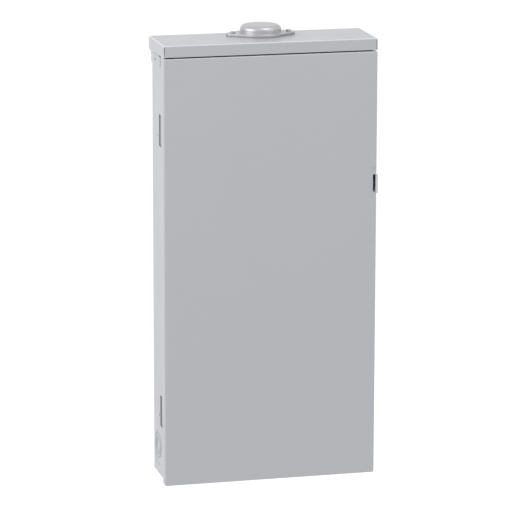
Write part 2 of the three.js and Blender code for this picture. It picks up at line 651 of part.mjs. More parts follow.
// Inner cover: a tray with its edges turned forward and windows for the breakers' noses.
function deadfrontCover() {
  const turnedEdge = 8;
  const clearance = 0.5;
  const sheet = tray(2 * COVER_HALF_WIDTH, 2 * COVER_HALF_HEIGHT, turnedEdge, DOOR_STEEL).rotate([180, 0, 0]);
  const through = [COVER_FRONT - PAST, COVER_BACK + PAST];
  const mainX = MAIN_NOSE.halfWidth + clearance;
  const mainZ = MAIN_NOSE.halfHeight + clearance;
  const rowHalf = BRANCH.width / 2 + clearance;
  const rows = [rowZ(ROWS_IN_USE - 1) - rowHalf, rowZ(0) + rowHalf];
  const cutters = [block([-mainX, mainX], through, [MAIN_Z - mainZ, MAIN_Z + mainZ])];
  for (const side of Object.values(SIDES)) {
    const window = between(side * (BRANCH.nose[0] - clearance), side * (BRANCH.nose[1] + clearance));
    cutters.push(block(window, through, rows));
    for (const z of [-COVER_SCREW.z, COVER_SCREW.z]) {
      cutters.push(rod('y', [side * COVER_SCREW.x, z], COVER_SCREW.hole, through, SMALL_ROUND));
    }
  }
  return cut(sheet.translate([0, COVER_BACK, 0]), cutters);
}

// Angle between the box's side walls that the inner cover is screwed to, drawn for the top.
function deadfrontRail() {
  const faceY = RAIL_FRONT + DOOR_STEEL / 2;
  const top = 375;
  const profile = strip([[faceY, top - 23], [faceY, top], [-68, top]], DOOR_STEEL);
  const length = [-WALL_INNER + 0.5, WALL_INNER - 0.5];
  const through = [RAIL_FRONT - PAST, RAIL_FRONT + DOOR_STEEL + PAST];
  const holes = [-COVER_SCREW.x, COVER_SCREW.x].map((x) =>
    rod('y', [x, COVER_SCREW.z], COVER_SCREW.hole, through, SMALL_ROUND),
  );
  return cut(prism('x', profile, length), holes);
}

// A round-headed screw pointing to the wall. The head's underside is at y = 0.
function screw(headRadius, headHeight, shankRadius, length) {
  const head = rod('y', [0, 0], headRadius, [-headHeight, 0], SMALL_ROUND);
  return head.add(rod('y', [0, 0], shankRadius, [-headHeight / 2, length], SMALL_ROUND));
}

function addCover() {
  addPart(model, 'deadfront_cover', deadfrontCover(), 'enamel');
  addPart(model, 'deadfront_rail_top', deadfrontRail(), 'galvanized');
  addPart(model, 'deadfront_rail_bottom', deadfrontRail().mirror([0, 0, 1]), 'galvanized');
  const solid = screw(SCREW_HEAD, 2.4, 2, 10);
  for (const [end, z] of [['top', COVER_SCREW.z], ['bottom', -COVER_SCREW.z]]) {
    for (const [name, side] of Object.entries(SIDES)) {
      const mesh = addPart(model, `deadfront_screw_${end}_${name}`, solid, 'zincPlate');
      mesh.position.set(side * COVER_SCREW.x, COVER_FRONT - GAP, z);
    }
  }
}

// ---------------------------------------------------------------- interior

const PAN_BACK = PAN_FACE + DOOR_STEEL / 2;
const PAN_FRONT = PAN_FACE - DOOR_STEEL / 2;

// Folded pan that stands off the back wall on two feet.
function interiorPan() {
  const footY = -2.6;
  const legX = 140;
  const footX = legX + 12;
  const profile = [
    [footX, footY],
    [legX, footY],
    [legX, PAN_FACE],
    [-legX, PAN_FACE],
    [-legX, footY],
    [-footX, footY],
  ];
  const pan = prism('z', strip(profile, DOOR_STEEL), [-262, 300]);
  const holes = [INTERIOR_SCREW.left, INTERIOR_SCREW.right].map((place) =>
    rod('y', place, INTERIOR_SCREW.hole, [footY - 2 * DOOR_STEEL, 0], SMALL_ROUND),
  );
  return cut(pan, holes);
}

// Moulded base: a spine behind the bus bars and cross arms under the neutral bars.
function insulatorBase() {
  const back = PAN_FRONT - GAP;
  const armHalf = 9;
  const armX = NEUTRAL_X + armHalf;
  const pieces = [block([-46, 46], [BASE_FRONT, back], [rowZ(ROW_COUNT - 1) - 22, MAIN_Z + 60])];
  for (const z of [NEUTRAL_RANGE[0] + 10, NEUTRAL_RANGE[1] - 10]) {
    pieces.push(block([-armX, armX], [BASE_FRONT, back], [z - armHalf, z + armHalf]));
  }
  return join(pieces);
}

// One line bus bar on side -1 or 1, with its stabs: every second row, reaching over the other bar.
function lineBus(side) {
  const inner = 4;
  const reach = 16;
  const stabHalf = 1.5;
  const stabFront = BUS_FRONT - 15;
  const bridge = BUS_FRONT - 3.5;
  const bar = between(side * inner, side * 22);
  const length = [rowZ(ROW_COUNT - 1) - 12, MAIN_Z - MAIN_HALF_HEIGHT + 14];
  const pieces = [block(bar, [BUS_FRONT, BUS_FRONT + BUS_THICKNESS], length)];
  const outline = [
    [side * reach, BUS_FRONT + 1],
    [side * reach, stabFront],
    [-side * reach, stabFront],
    [-side * reach, bridge],
    [side * inner, bridge],
    [side * inner, BUS_FRONT + 1],
  ].map(([x, y]) => new THREE.Vector2(x, y));
  for (let row = side < 0 ? 0 : 1; row < ROW_COUNT; row += 2) {
    pieces.push(prism('z', outline, [rowZ(row) - stabHalf, rowZ(row) + stabHalf]));
  }
  return join(pieces);
}

// A bar along Z with a row of wire screws on its front face and a hole behind each for the wire.
function terminalBar(length, size, screws) {
  const bar = block([-size / 2, size / 2], [-size, 0], [0, length]);
  const head = { radius: size * 0.32, height: 1.6 };
  const wire = { radius: size * 0.22, depth: size * 0.42 };
  const heights = Array.from({ length: screws }, (_, i) => ((i + 0.5) * length) / screws);
  const heads = heights.map((z) => rod('y', [0, z], head.radius, [-size - head.height, -size + PAST], 8));
  const wireHoles = heights.map((z) => rod('x', [-wire.depth, z], wire.radius, [-size, size], 6));
  return cut(join([bar, ...heads]), wireHoles);
}

const NEUTRAL_BAR = { size: 11, length: NEUTRAL_RANGE[1] - NEUTRAL_RANGE[0] - 20, screws: 8 };
const NEUTRAL_BACK = BASE_FRONT - GAP;
const STRAP = { low: NEUTRAL_RANGE[1] - 17, high: NEUTRAL_RANGE[1], thickness: 3 };
const GROUND_BAR = { size: 10, length: 110, screws: 7, place: [165, -STEEL - GAP, -350] };

function neutralBar() {
  return terminalBar(NEUTRAL_BAR.length, NEUTRAL_BAR.size, NEUTRAL_BAR.screws);
}

// Bar that ties the two neutral bars together and passes behind the line bus bars.
function neutralStrap() {
  const half = NEUTRAL_X + NEUTRAL_BAR.size / 2;
  return block([-half, half], [NEUTRAL_BACK - STRAP.thickness, NEUTRAL_BACK], [STRAP.low, STRAP.high]);
}

// A block lug with a wire bore along Z from above and a hexagon socket set screw on its front.
function wireLug(width, depth, height, bore) {
  const floor = 4;
  const setScrew = { radius: 6, rise: 3, socket: 3, socketDepth: 2 };
  const body = block([-width / 2, width / 2], [-depth, 0], [0, height]);
  const wire = rod('z', [0, -depth * 0.42], bore, [floor, height + PAST], 20);
  const screwFront = -depth - setScrew.rise;
  const socketRange = [screwFront - PAST, screwFront + setScrew.socketDepth];
  const socket = rod('y', [0, height / 2], setScrew.socket, socketRange, 6);
  const head = rod('y', [0, height / 2], setScrew.radius, [screwFront, -depth + PAST]);
  return cut(body, [wire]).add(head).subtract(socket);
}

function addInterior() {
  addPart(model, 'interior_pan', interiorPan(), 'galvanized');
  for (const name of Object.keys(SIDES)) {
    const [x, z] = INTERIOR_SCREW[name];
    const mesh = addPart(model, `interior_screw_${name}`, screw(SCREW_HEAD, 2, 2, 3.2), 'zincPlate');
    mesh.position.set(x, -3.5, z);
  }
  addPart(model, 'insulator_base', insulatorBase(), 'blackMoulding');
  for (const [name, side] of Object.entries(SIDES)) {
    addPart(model, `line_bus_${name}`, lineBus(side), 'aluminium');
    const bar = addPart(model, `neutral_bar_${name}`, neutralBar(), 'aluminium');
    bar.position.set(side * NEUTRAL_X, NEUTRAL_BACK, NEUTRAL_RANGE[0]);
  }
  addPart(model, 'neutral_strap', neutralStrap(), 'aluminium');
  const lug = addPart(model, 'neutral_lug', wireLug(24, 26, 28, 7.5), 'aluminium');
  lug.position.set(-NEUTRAL_X + 12, NEUTRAL_BACK, STRAP.high + GAP);
  const { size, length, screws, place } = GROUND_BAR;
  addPart(model, 'ground_bar', terminalBar(length, size, screws), 'aluminium').position.set(...place);
  const bond = addPart(model, 'bonding_screw', screw(5, 3.4, 2.5, 9), 'greenScrew');
  bond.position.set(NEUTRAL_X, PAN_FRONT - 10, NEUTRAL_RANGE[0] - 10);
}

// ---------------------------------------------------------------- breakers

// Main breaker case: a block with a raised nose, a pocket for the handle and an undercut over the bus bars.
function mainCase() {
  const low = MAIN_Z - MAIN_HALF_HEIGHT;
  const high = MAIN_Z + MAIN_HALF_HEIGHT;
  const { halfWidth, halfHeight } = MAIN_NOSE;
  const body = block([-MAIN_HALF_WIDTH, MAIN_HALF_WIDTH], [CASE_FRONT, BASE_FRONT - 0.6], [low, high]);
  const nose = block(
    [-halfWidth, halfWidth],
    [NOSE_FRONT, CASE_FRONT + PAST],
    [MAIN_Z - halfHeight, MAIN_Z + halfHeight],
  );
  const pocket = block([-19, 19], [NOSE_FRONT - PAST, MAIN_PIVOT_Y + 12], [MAIN_Z - 24, MAIN_Z + 24]);
  const undercut = block([-26, 26], [BUS_FRONT - 3, 0], [low - PAST, low + 17]);
  const slot = { x: [-1.5, 1.5], y: [CASE_FRONT - PAST, CASE_FRONT + 6] };
  const lowSlot = block(slot.x, slot.y, [low - PAST, MAIN_Z - halfHeight]);
  const highSlot = block(slot.x, slot.y, [MAIN_Z + halfHeight, high + PAST]);
  return cut(body.add(nose), [pocket, undercut, lowSlot, highSlot]);
}

// A handle's side view from three [half width, reach] pairs, mirrored about its middle line.
function paddleOutline(root, neck, tip) {
  const half = [root, neck, tip];
  const mirrored = half.map(([width, reach]) => [-width, reach]).reverse();
  return [...half, ...mirrored].map(([width, reach]) => new THREE.Vector2(width, -reach));
}

// Main handle, drawn about its pivot: a hub across X and a wide paddle towards the front.
function mainHandle() {
  const paddle = paddleOutline([6.5, 0], [5, 24], [3.6, 27.6]).map(({ x, y }) => new THREE.Vector2(y, x));
  return rod('x', [0, 0], 8, [-17.5, 17.5], 20).add(prism('x', paddle, [-15, 15]));
}

// Branch breaker case for the right-hand column: hooks at the outer end, a jaw slot at the inner end.
function branchCase() {
  const { start, length, width, pivotX, pivotY, nose } = BRANCH;
  const end = start + length;
  const half = width / 2;
  const whole = [-half - PAST, half + PAST];
  const body = block([start, end], [CASE_FRONT, BASE_FRONT - 1], [-half, half]);
  const front = block(nose, [NOSE_FRONT, CASE_FRONT + PAST], [-half, half]);
  const undercut = block([start - PAST, start + 20], [BUS_FRONT - 3, 0], whole);
  const jawSlot = block([start - PAST, start + 13], [BUS_FRONT - 18, BUS_FRONT], [-3, 3]);
  const pocket = block([pivotX - 11, pivotX + 11], [NOSE_FRONT - PAST, pivotY + 8], [-6, 6]);
  const wireEntry = block([end - 12, end + PAST], [-60, -48], [-4, 4]);
  const terminal = rod('y', [end - 8, 0], 4, [CASE_FRONT - PAST, CASE_FRONT + 2.5], SMALL_ROUND);
  return cut(body.add(front), [undercut, jawSlot, pocket, wireEntry, terminal]);
}

// Branch handle, drawn about its pivot: a hub along Z and a tapered paddle towards the front.
function branchHandle() {
  const paddle = paddleOutline([4.5, 0], [3.6, 19], [2.6, 22.4]);
  return rod('z', [0, 0], 6, [-5.4, 5.4], 20).add(prism('z', paddle, [-4.8, 4.8]));
}

// A breaker in each of the first spaces of both columns. The left column is the right one turned by half a
// turn about Y, so its handles point the other way.
function addBranchBreakers() {
  const fit = (ROW_PITCH - GAP) / ROW_PITCH;
  for (const name of Object.keys(SIDES)) {
    for (let row = 0; row < ROWS_IN_USE; row += 1) {
      const breaker = new THREE.Group();
      breaker.position.z = rowZ(row);
      breaker.rotation.y = name === 'left' ? Math.PI : 0;
      model.add(breaker);
      addPart(breaker, `branch_case_${name}_${row + 1}`, branchCase().scale([1, 1, fit]), 'blackMoulding');
      const handle = addPart(breaker, `branch_handle_${name}_${row + 1}`, branchHandle(), 'handlePlastic');
      handle.position.set(BRANCH.pivotX, BRANCH.pivotY, 0);
      handle.rotation.z = -BRANCH_TILT;
    }
  }
}

function addMainBreaker() {
  addPart(model, 'main_breaker_case', mainCase(), 'blackMoulding');
  const handle = addPart(model, 'main_breaker_handle', mainHandle(), 'handlePlastic');
  handle.position.set(0, MAIN_PIVOT_Y, MAIN_Z);
  handle.rotation.x = -MAIN_TILT;
  for (const [name, side] of Object.entries(SIDES)) {
    const lug = addPart(model, `main_line_lug_${name}`, wireLug(28, 30, 28, 8.5), 'aluminium');
    lug.position.set(side * 23, -44, MAIN_Z + MAIN_HALF_HEIGHT + GAP);
  }
}

// ---------------------------------------------------------------- assembly

function addEnclosure() {
  addPart(model, 'enclosure_body', enclosureBody(), 'enamel');
  addPart(model, 'bottom_end_wall', bottomEndWall(), 'enamel');
  addPart(model, 'hood', hood(), 'enamel');
  const rivetX = BODY_HALF + 2 * GAP + STEEL;
  const rivetGrip = 4.2;
  for (const [name, side] of Object.entries(SIDES)) {
    addRivet(`hood_rivet_${name}`, side * rivetX, HOOD_RIVET.y, HOOD_RIVET.z, rivetGrip);
  }
}

function addDoor() {
  addPart(model, 'door_panel', doorPanel(), 'enamel');
  addPart(model, 'directory_card', directoryCard(), 'card');
}

addEnclosure();
addHub();
addDoor();
addHinges();
addLatch();
addCover();
addInterior();
addMainBreaker();
addBranchBreakers();

export default model;
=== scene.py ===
"""Looks for the residential load center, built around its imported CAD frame.

Metres. +X is to the right as seen from the front, +Y points to the wall, +Z is up.
"""

import json
import math

import bmesh
import bpy
from mathutils import Matrix, Vector


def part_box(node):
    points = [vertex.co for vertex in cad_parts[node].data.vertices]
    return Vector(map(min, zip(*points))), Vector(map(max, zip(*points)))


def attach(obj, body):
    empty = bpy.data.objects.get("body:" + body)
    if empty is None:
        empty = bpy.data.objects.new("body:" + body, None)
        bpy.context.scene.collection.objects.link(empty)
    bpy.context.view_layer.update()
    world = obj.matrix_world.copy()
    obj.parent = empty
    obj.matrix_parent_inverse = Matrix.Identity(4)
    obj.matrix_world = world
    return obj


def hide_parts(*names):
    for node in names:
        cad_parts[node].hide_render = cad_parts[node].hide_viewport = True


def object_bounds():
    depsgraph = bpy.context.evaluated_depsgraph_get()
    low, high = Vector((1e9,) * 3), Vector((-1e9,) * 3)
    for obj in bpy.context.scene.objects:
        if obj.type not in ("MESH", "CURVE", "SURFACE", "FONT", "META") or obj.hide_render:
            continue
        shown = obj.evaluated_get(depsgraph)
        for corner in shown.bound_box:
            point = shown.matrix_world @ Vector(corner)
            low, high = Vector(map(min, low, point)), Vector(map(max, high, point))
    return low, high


MM = 0.001

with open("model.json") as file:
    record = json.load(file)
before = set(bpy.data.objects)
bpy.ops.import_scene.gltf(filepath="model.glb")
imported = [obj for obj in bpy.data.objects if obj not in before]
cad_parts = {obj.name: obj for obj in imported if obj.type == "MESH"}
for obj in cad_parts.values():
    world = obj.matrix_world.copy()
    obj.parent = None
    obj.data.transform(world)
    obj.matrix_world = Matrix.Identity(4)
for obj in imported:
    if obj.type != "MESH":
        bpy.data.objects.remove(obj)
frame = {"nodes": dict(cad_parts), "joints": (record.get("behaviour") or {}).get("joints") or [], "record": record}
cad_low, cad_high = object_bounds()
record = frame["record"]
BODY_OF = {node: body for body, nodes in record["behaviour"]["bodies"].items() for node in nodes}
SLOT_OF = {row["node"]: row["material_slot"] for row in record["subparts"]}


# ------------ shader nodes

# Numbers of the mix node's two colour inputs and of its colour output.
MIX_COLOURS = (6, 7)
MIX_RESULT = 2


def add_node(tree, kind, inputs=None, **settings):
    """A node with its settings. Each input, by name or number, is set to a value or joined to a socket."""
    node = tree.nodes.new(kind)
    for name, value in settings.items():
        setattr(node, name, value)
    for name, value in (inputs or {}).items():
        if isinstance(value, bpy.types.NodeSocket):
            tree.links.new(value, node.inputs[name])
        else:
            node.inputs[name].default_value = value
    return node


def object_place(tree, stretch=(1, 1, 1)):
    """Object coordinates, squeezed along each axis by stretch."""
    place = add_node(tree, "ShaderNodeTexCoord").outputs["Object"]
    if stretch == (1, 1, 1):
        return place
    return add_node(tree, "ShaderNodeMapping", {"Vector": place, "Scale": stretch}).outputs["Vector"]


def noise(tree, place, size, detail=2.0):
    """Noise between 0 and 1 with features of about that size, in metres."""
    inputs = {"Vector": place, "Scale": 1 / size, "Detail": detail}
    return add_node(tree, "ShaderNodeTexNoise", inputs).outputs["Fac"]


def remap(tree, value, source, target):
    """value taken from the source range to the target range."""
    inputs = {
        "Value": value,
        "From Min": source[0],
        "From Max": source[1],
        "To Min": target[0],
        "To Max": target[1],
    }
    return add_node(tree, "ShaderNodeMapRange", inputs).outputs["Result"]


def maths(tree, operation, *values):
    return add_node(tree, "ShaderNodeMath", dict(enumerate(values)), operation=operation).outputs["Value"]


def blend(tree, share, first, second):
    """The first colour at share 0, the second at share 1."""
    colours = [(*colour, 1) if isinstance(colour, tuple) else colour for colour in (first, second)]
    inputs = {"Factor": share, **dict(zip(MIX_COLOURS, colours))}
    return add_node(tree, "ShaderNodeMix", inputs, data_type="RGBA").outputs[MIX_RESULT]


def edge_mask(tree, radius, gain):
    """0 on flat ground, rising to 1 where the surface turns within that radius."""
    rounded = add_node(tree, "ShaderNodeBevel", {"Radius": radius}, samples=4).outputs["Normal"]
    straight = add_node(tree, "ShaderNodeNewGeometry").outputs["Normal"]
    dot = add_node(tree, "ShaderNodeVectorMath", {0: rounded, 1: straight}, operation="DOT_PRODUCT")
    return remap(tree, dot.outputs["Value"], (1, 1 - 1 / gain), (0, 1))


def fold_highlight_mask(tree):
    """Where the painted fold highlight goes: 1 on the upper part of a fold between a level face and an upright
    one, 0 on the faces themselves.
    """
    normal = add_node(tree, "ShaderNodeTexCoord").outputs["Normal"]
    upward = add_node(tree, "ShaderNodeSeparateXYZ", {"Vector": normal}).outputs["Z"]
    past_upright = remap(tree, upward, (0.5, 0.8), (0, 1))
    short_of_level = remap(tree, upward, (0.94, 0.995), (1, 0))
    return maths(tree, "MULTIPLY", past_upright, short_of_level)


def bump(tree, height, depth, under=None):
    """A bump of that depth in metres, on top of another bump's normal."""
    inputs = {"Height": height, "Distance": depth, "Strength": 1.0}
    if under is not None:
        inputs["Normal"] = under
    return add_node(tree, "ShaderNodeBump", inputs).outputs["Normal"]


def tint(colour, factor):
    return tuple(min(1.0, c * factor) for c in colour)


def new_material(name):
    """A material, its node tree, and object coordinates in that tree."""
    material = bpy.data.materials.new(name)
    material.use_nodes = True
    return material, material.node_tree, object_place(material.node_tree)


def wire_up(material, sockets, constants):
    """Joins the shader to its colour, roughness and normal and sets its constants."""
    shader = material.node_tree.nodes["Principled BSDF"]
    for name, socket in zip(("Base Color", "Roughness", "Normal"), sockets):
        material.node_tree.links.new(socket, shader.inputs[name])
    for name, value in constants.items():
        shader.inputs[name].default_value = value
    return material


# ------------ materials


def enamel():
    """Baked grey enamel: fine orange peel, faint clouding, glossy edges lightened partly by wear and partly by a
    painted highlight, and a painted highlight on the upper part of top folds.
    """
    colour = (0.294, 0.298, 0.316)
    material, tree, place = new_material("enamel")
    clouds = noise(tree, place, 160 * MM)
    flecks = noise(tree, place, 3.5 * MM, 3)
    edges = edge_mask(tree, 1.4 * MM, 9)
    ground = blend(tree, clouds, tint(colour, 0.985), tint(colour, 1.015))
    flecked = blend(tree, remap(tree, flecks, (0.35, 0.75), (0, 0.05)), ground, tint(colour, 0.86))
    # Edges are lightened partly as paint wear and partly as a painted highlight along the bends.
    wear_and_painted_highlight = blend(tree, maths(tree, "MULTIPLY", edges, 0.45), flecked, tint(colour, 1.25))
    # Painted highlight: the upper part of each fold is lightened to stand in for a reflection of the lamps.
    painted_fold_highlight = blend(tree, fold_highlight_mask(tree), wear_and_painted_highlight, tint(colour, 1.45))
    rough = remap(tree, noise(tree, place, 50 * MM, 3), (0.3, 0.7), (0.36, 0.44))
    polished = maths(tree, "SUBTRACT", rough, maths(tree, "MULTIPLY", edges, 0.12))
    ripple = bump(tree, noise(tree, place, 20 * MM), 0.04 * MM)
    peel = bump(tree, noise(tree, place, 1.6 * MM, 1), 0.02 * MM, ripple)
    sockets = (painted_fold_highlight, polished, peel)
    constants = {"Specular IOR Level": 0.5, "Coat Weight": 0.04, "Coat Roughness": 0.18}
    return wire_up(material, sockets, constants)


def metal(name, colour, roughness, grain, grain_depth, stretch):
    """Bare or plated metal: grain along one direction, dull patches, and bright rubbed edges."""
    material, tree, place = new_material(name)
    patches = noise(tree, place, 25 * MM, 3)
    streaks = noise(tree, object_place(tree, stretch), grain, 3)
    edges = edge_mask(tree, 0.6 * MM, 6)
    ground = blend(tree, patches, tint(colour, 0.90), tint(colour, 1.06))
    streaked = blend(tree, remap(tree, streaks, (0.4, 0.8), (0, 0.35)), ground, tint(colour, 0.78))
    rubbed = blend(tree, maths(tree, "MULTIPLY", edges, 0.5), streaked, tint(colour, 1.3))
    rough = remap(tree, streaks, (0.3, 0.7), (roughness - 0.06, roughness + 0.06))
    dull = maths(tree, "ADD", rough, maths(tree, "MULTIPLY", patches, 0.08))
    return wire_up(material, (rubbed, dull, bump(tree, streaks, grain_depth)), {"Metallic": 1.0})


def cast_zinc():
    """Die casting: pebbled skin with soft flow marks."""
    colour = (0.37, 0.367, 0.388)
    material, tree, place = new_material("cast_zinc")
    pebbles = noise(tree, place, 1.1 * MM, 3)
    flow = noise(tree, object_place(tree, (1, 1, 2.5)), 14 * MM, 2)
    edges = edge_mask(tree, 0.9 * MM, 6)
    ground = blend(tree, flow, tint(colour, 0.88), tint(colour, 1.08))
    pitted = blend(tree, remap(tree, pebbles, (0.5, 0.8), (0, 0.3)), ground, tint(colour, 0.7))
    rubbed = blend(tree, maths(tree, "MULTIPLY", edges, 0.5), pitted, tint(colour, 1.3))
    rough = remap(tree, flow, (0.3, 0.7), (0.34, 0.44))
    surface = bump(tree, pebbles, 0.05 * MM, bump(tree, flow, 0.12 * MM))
    return wire_up(material, (rubbed, rough, surface), {"Metallic": 0.6})


def galvanized():
    """Hot-dip sheet: crystal spangles a few millimetres across."""
    colour = (0.50, 0.51, 0.53)
    cells_in_a_metre = 130.0
    material, tree, place = new_material("galvanized")
    cells = add_node(tree, "ShaderNodeTexVoronoi", {"Vector": place, "Scale": cells_in_a_metre})
    shade = add_node(tree, "ShaderNodeSeparateColor", {"Color": cells.outputs["Color"]}).outputs["Red"]
    fine = noise(tree, place, 2 * MM, 3)
    spangled = blend(tree, shade, tint(colour, 0.82), tint(colour, 1.12))
    dusted = blend(tree, remap(tree, fine, (0.45, 0.8), (0, 0.3)), spangled, tint(colour, 0.7))
    rough = remap(tree, shade, (0, 1), (0.38, 0.52))
    return wire_up(material, (dusted, rough, bump(tree, fine, 0.02 * MM)), {"Metallic": 0.9})


def moulded(name, colour, roughness, stipple, stipple_depth, shine=0.5):
    """Moulded plastic or rubber: stippled skin, faint dust in it, and scuffed edges."""
    material, tree, place = new_material(name)
    dots = noise(tree, place, stipple, 2)
    dust = noise(tree, place, 30 * MM, 4)
    edges = edge_mask(tree, 0.7 * MM, 6)
    dusted = blend(tree, remap(tree, dust, (0.4, 0.8), (0, 0.10)), colour, (0.16, 0.16, 0.16))
    scuffed = blend(tree, maths(tree, "MULTIPLY", edges, 0.25), dusted, (0.13, 0.13, 0.135))
    rough = remap(tree, dust, (0.3, 0.7), (roughness - 0.05, roughness + 0.07))
    return wire_up(material, (scuffed, rough, bump(tree, dots, stipple_depth)), {"Specular IOR Level": shine})


def card():
    """Uncoated card with paper fibres, printed with a blank ruled table."""
    paper = (0.62, 0.61, 0.57)
    ink = (0.16, 0.17, 0.19)
    low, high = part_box("directory_card")
    material, tree, place = new_material("card")
    fibres = noise(tree, object_place(tree, (1, 1, 3)), 1.2 * MM, 4)
    sheet = blend(tree, remap(tree, fibres, (0.3, 0.8), (0, 1)), tint(paper, 1.05), tint(paper, 0.9))
    across = add_node(tree, "ShaderNodeSeparateXYZ", {"Vector": place}).outputs
    margin = 8 * MM
    rows = 12
    columns = 4
    line = 0.5 * MM
    printed = 0.0
    for axis, name, count in ((0, "X", columns), (2, "Z", rows)):
        start = low[axis] + margin
        pitch = (high[axis] - low[axis] - 2 * margin) / count
        shifted = maths(tree, "SUBTRACT", across[name], start - line / 2)
        lines = maths(tree, "LESS_THAN", maths(tree, "WRAP", shifted, pitch, 0.0), line)
        printed = maths(tree, "MAXIMUM", printed, lines)
    for axis, name in ((0, "X"), (2, "Z")):
        inside_low = maths(tree, "GREATER_THAN", across[name], low[axis] + margin - line)
        inside_high = maths(tree, "LESS_THAN", across[name], high[axis] - margin + line)
        printed = maths(tree, "MULTIPLY", printed, maths(tree, "MULTIPLY", inside_low, inside_high))
    ruled = blend(tree, maths(tree, "MULTIPLY", printed, 0.8), sheet, ink)
    rough = remap(tree, fibres, (0.3, 0.7), (0.82, 0.95))
    return wire_up(material, (ruled, rough, bump(tree, fibres, 0.02 * MM)), {"Specular IOR Level": 0.3})


def studio_floor():
    """Seamless paper."""
    material, tree, place = new_material("studio_floor")
    clouds = noise(tree, place, 800 * MM)
    shade = blend(tree, clouds, (0.94, 0.94, 0.94), (0.97, 0.97, 0.97))
    return wire_up(material, (shade,), {"Roughness": 0.9, "Specular IOR Level": 0.2})


LOOKS = {
    "enamel": enamel(),
    "cast_zinc": cast_zinc(),
    "gasket_rubber": moulded("gasket_rubber", (0.30, 0.30, 0.31), 0.82, 0.0012, 0.06 * MM, 0.3),
    "zinc_plate": metal("zinc_plate", (0.52, 0.52, 0.53), 0.32, 0.0012, 0.015 * MM, (1, 1, 6)),
    "galvanized": galvanized(),
    "aluminium": metal("aluminium", (0.66, 0.67, 0.68), 0.34, 0.0009, 0.02 * MM, (8, 8, 0.6)),
    "black_moulding": moulded("black_moulding", (0.012, 0.012, 0.014), 0.52, 0.0009, 0.05 * MM),
    "handle_plastic": moulded("handle_plastic", (0.018, 0.018, 0.020), 0.36, 0.0014, 0.02 * MM),
    "green_screw": metal("green_screw", (0.05, 0.30, 0.10), 0.34, 0.0010, 0.015 * MM, (1, 4, 1)),
    "card": card(),
}


# ------------ mesh tools

WELD = 1e-6
FLAT_ANGLE = math.radians(0.4)
SHARP_ANGLE = math.radians(32)
ARC_STEPS = 6
ROUND_SIDES = 48
PAST = 1 * MM  # how far a cutter runs past the surface it cuts

# How an outline's u and v and its length w map to the row frame.
AXES = {
    "X": lambda u, v, w: (w, u, v),
    "Y": lambda u, v, w: (u, w, v),
    "Z": lambda u, v, w: (u, v, w),
}


def arc(centre, radius, start, end, steps=ARC_STEPS):
    """Points on a circle from one angle to another, in degrees."""
    angles = [math.radians(start + (end - start) * i / steps) for i in range(steps + 1)]
    return [(centre[0] + radius * math.cos(a), centre[1] + radius * math.sin(a)) for a in angles]


def quarter(numbers, steps=ARC_STEPS):
    """The numbered angles of a quarter turn that is cut into steps, in radians."""
    return [math.pi / 2 * i / steps for i in numbers]


def circle(centre, radius, sides=ROUND_SIDES):
    return arc(centre, radius, 0, 360, sides)[:-1]


def rectangle(low, high, radius=0.0):
    """A rectangle's outline, with round corners if it has a radius."""
    if radius <= 0:
        return [(low[0], low[1]), (high[0], low[1]), (high[0], high[1]), (low[0], high[1])]
    corners = [
        (high[0] - radius, high[1] - radius, 0),
        (low[0] + radius, high[1] - radius, 90),
        (low[0] + radius, low[1] + radius, 180),
        (high[0] - radius, low[1] + radius, 270),
    ]
    return [point for u, v, start in corners for point in arc((u, v), radius, start, start + 90)]


def spread(a, b):
    """Two numbers as a low and a high one."""
    return min(a, b), max(a, b)


def past(a, b):
    """A range that runs past a surface at both ends."""
    return a - PAST, b + PAST


def skin(rings):
    """A closed surface through rings of points, capped at both ends."""
    bm = bmesh.new()
    rows = [[bm.verts.new(point) for point in ring] for ring in rings]
    count = len(rows[0])
    bm.faces.new(rows[0])
    bm.faces.new(rows[-1])
    for near, far in zip(rows, rows[1:]):
        for i in range(count):
            j = (i + 1) % count
            bm.faces.new((near[i], near[j], far[j], far[i]))
    bmesh.ops.remove_doubles(bm, verts=bm.verts, dist=WELD / 10)
    bmesh.ops.recalc_face_normals(bm, faces=bm.faces)
    return bm


def prism(axis, outline, length):
    """An outline on the other two axes, in x, y, z order, drawn out along an axis."""
    place = AXES[axis]
    return skin([[place(u, v, w) for u, v in outline] for w in length])


def rod(axis, centre, radius, length, sides=ROUND_SIDES):
    return prism(axis, circle(centre, radius, sides), length)


def block(x, y, z):
    return prism("Z", rectangle((x[0], y[0]), (x[1], y[1])), z)


def turned(axis, centre, profile, sides=ROUND_SIDES):
    """A solid of revolution about a line along an axis, from points of radius and height.

    The centre is given on the other two axes.
    """
    place = AXES[axis]
    return skin([[place(u, v, w) for u, v in circle(centre, radius, sides)] for radius, w in profile])


def tube(path, radius):
    """Round wire along a path of points."""
    sides = 10
    lean = Vector((0.3, 0.2, 1))  # the path never runs along it
    points = [Vector(point) for point in path]
    rings = []
    for i, point in enumerate(points):
        ahead = points[min(i + 1, len(points) - 1)] - points[max(i - 1, 0)]
        across = ahead.cross(lean).normalized()
        upright = across.cross(ahead).normalized()
        rings.append([point + across * u + upright * v for u, v in circle((0, 0), radius, sides)])
    return skin(rings)


def band(path, thickness):
    """The outline of a bent strip of sheet along a path."""
    points = [Vector(point) for point in path]
    sides = ([], [])
    for i, point in enumerate(points):
        before = point - points[i - 1] if i > 0 else points[1] - point
        after = points[i + 1] - point if i + 1 < len(points) else before
        along = (before.normalized() + after.normalized()).normalized()
        reach = thickness / 2 / along.dot(before.normalized())
        normal = Vector((-along.y, along.x)) * reach
        sides[0].append(tuple(point + normal))
        sides[1].insert(0, tuple(point - normal))
    return sides[0] + sides[1]


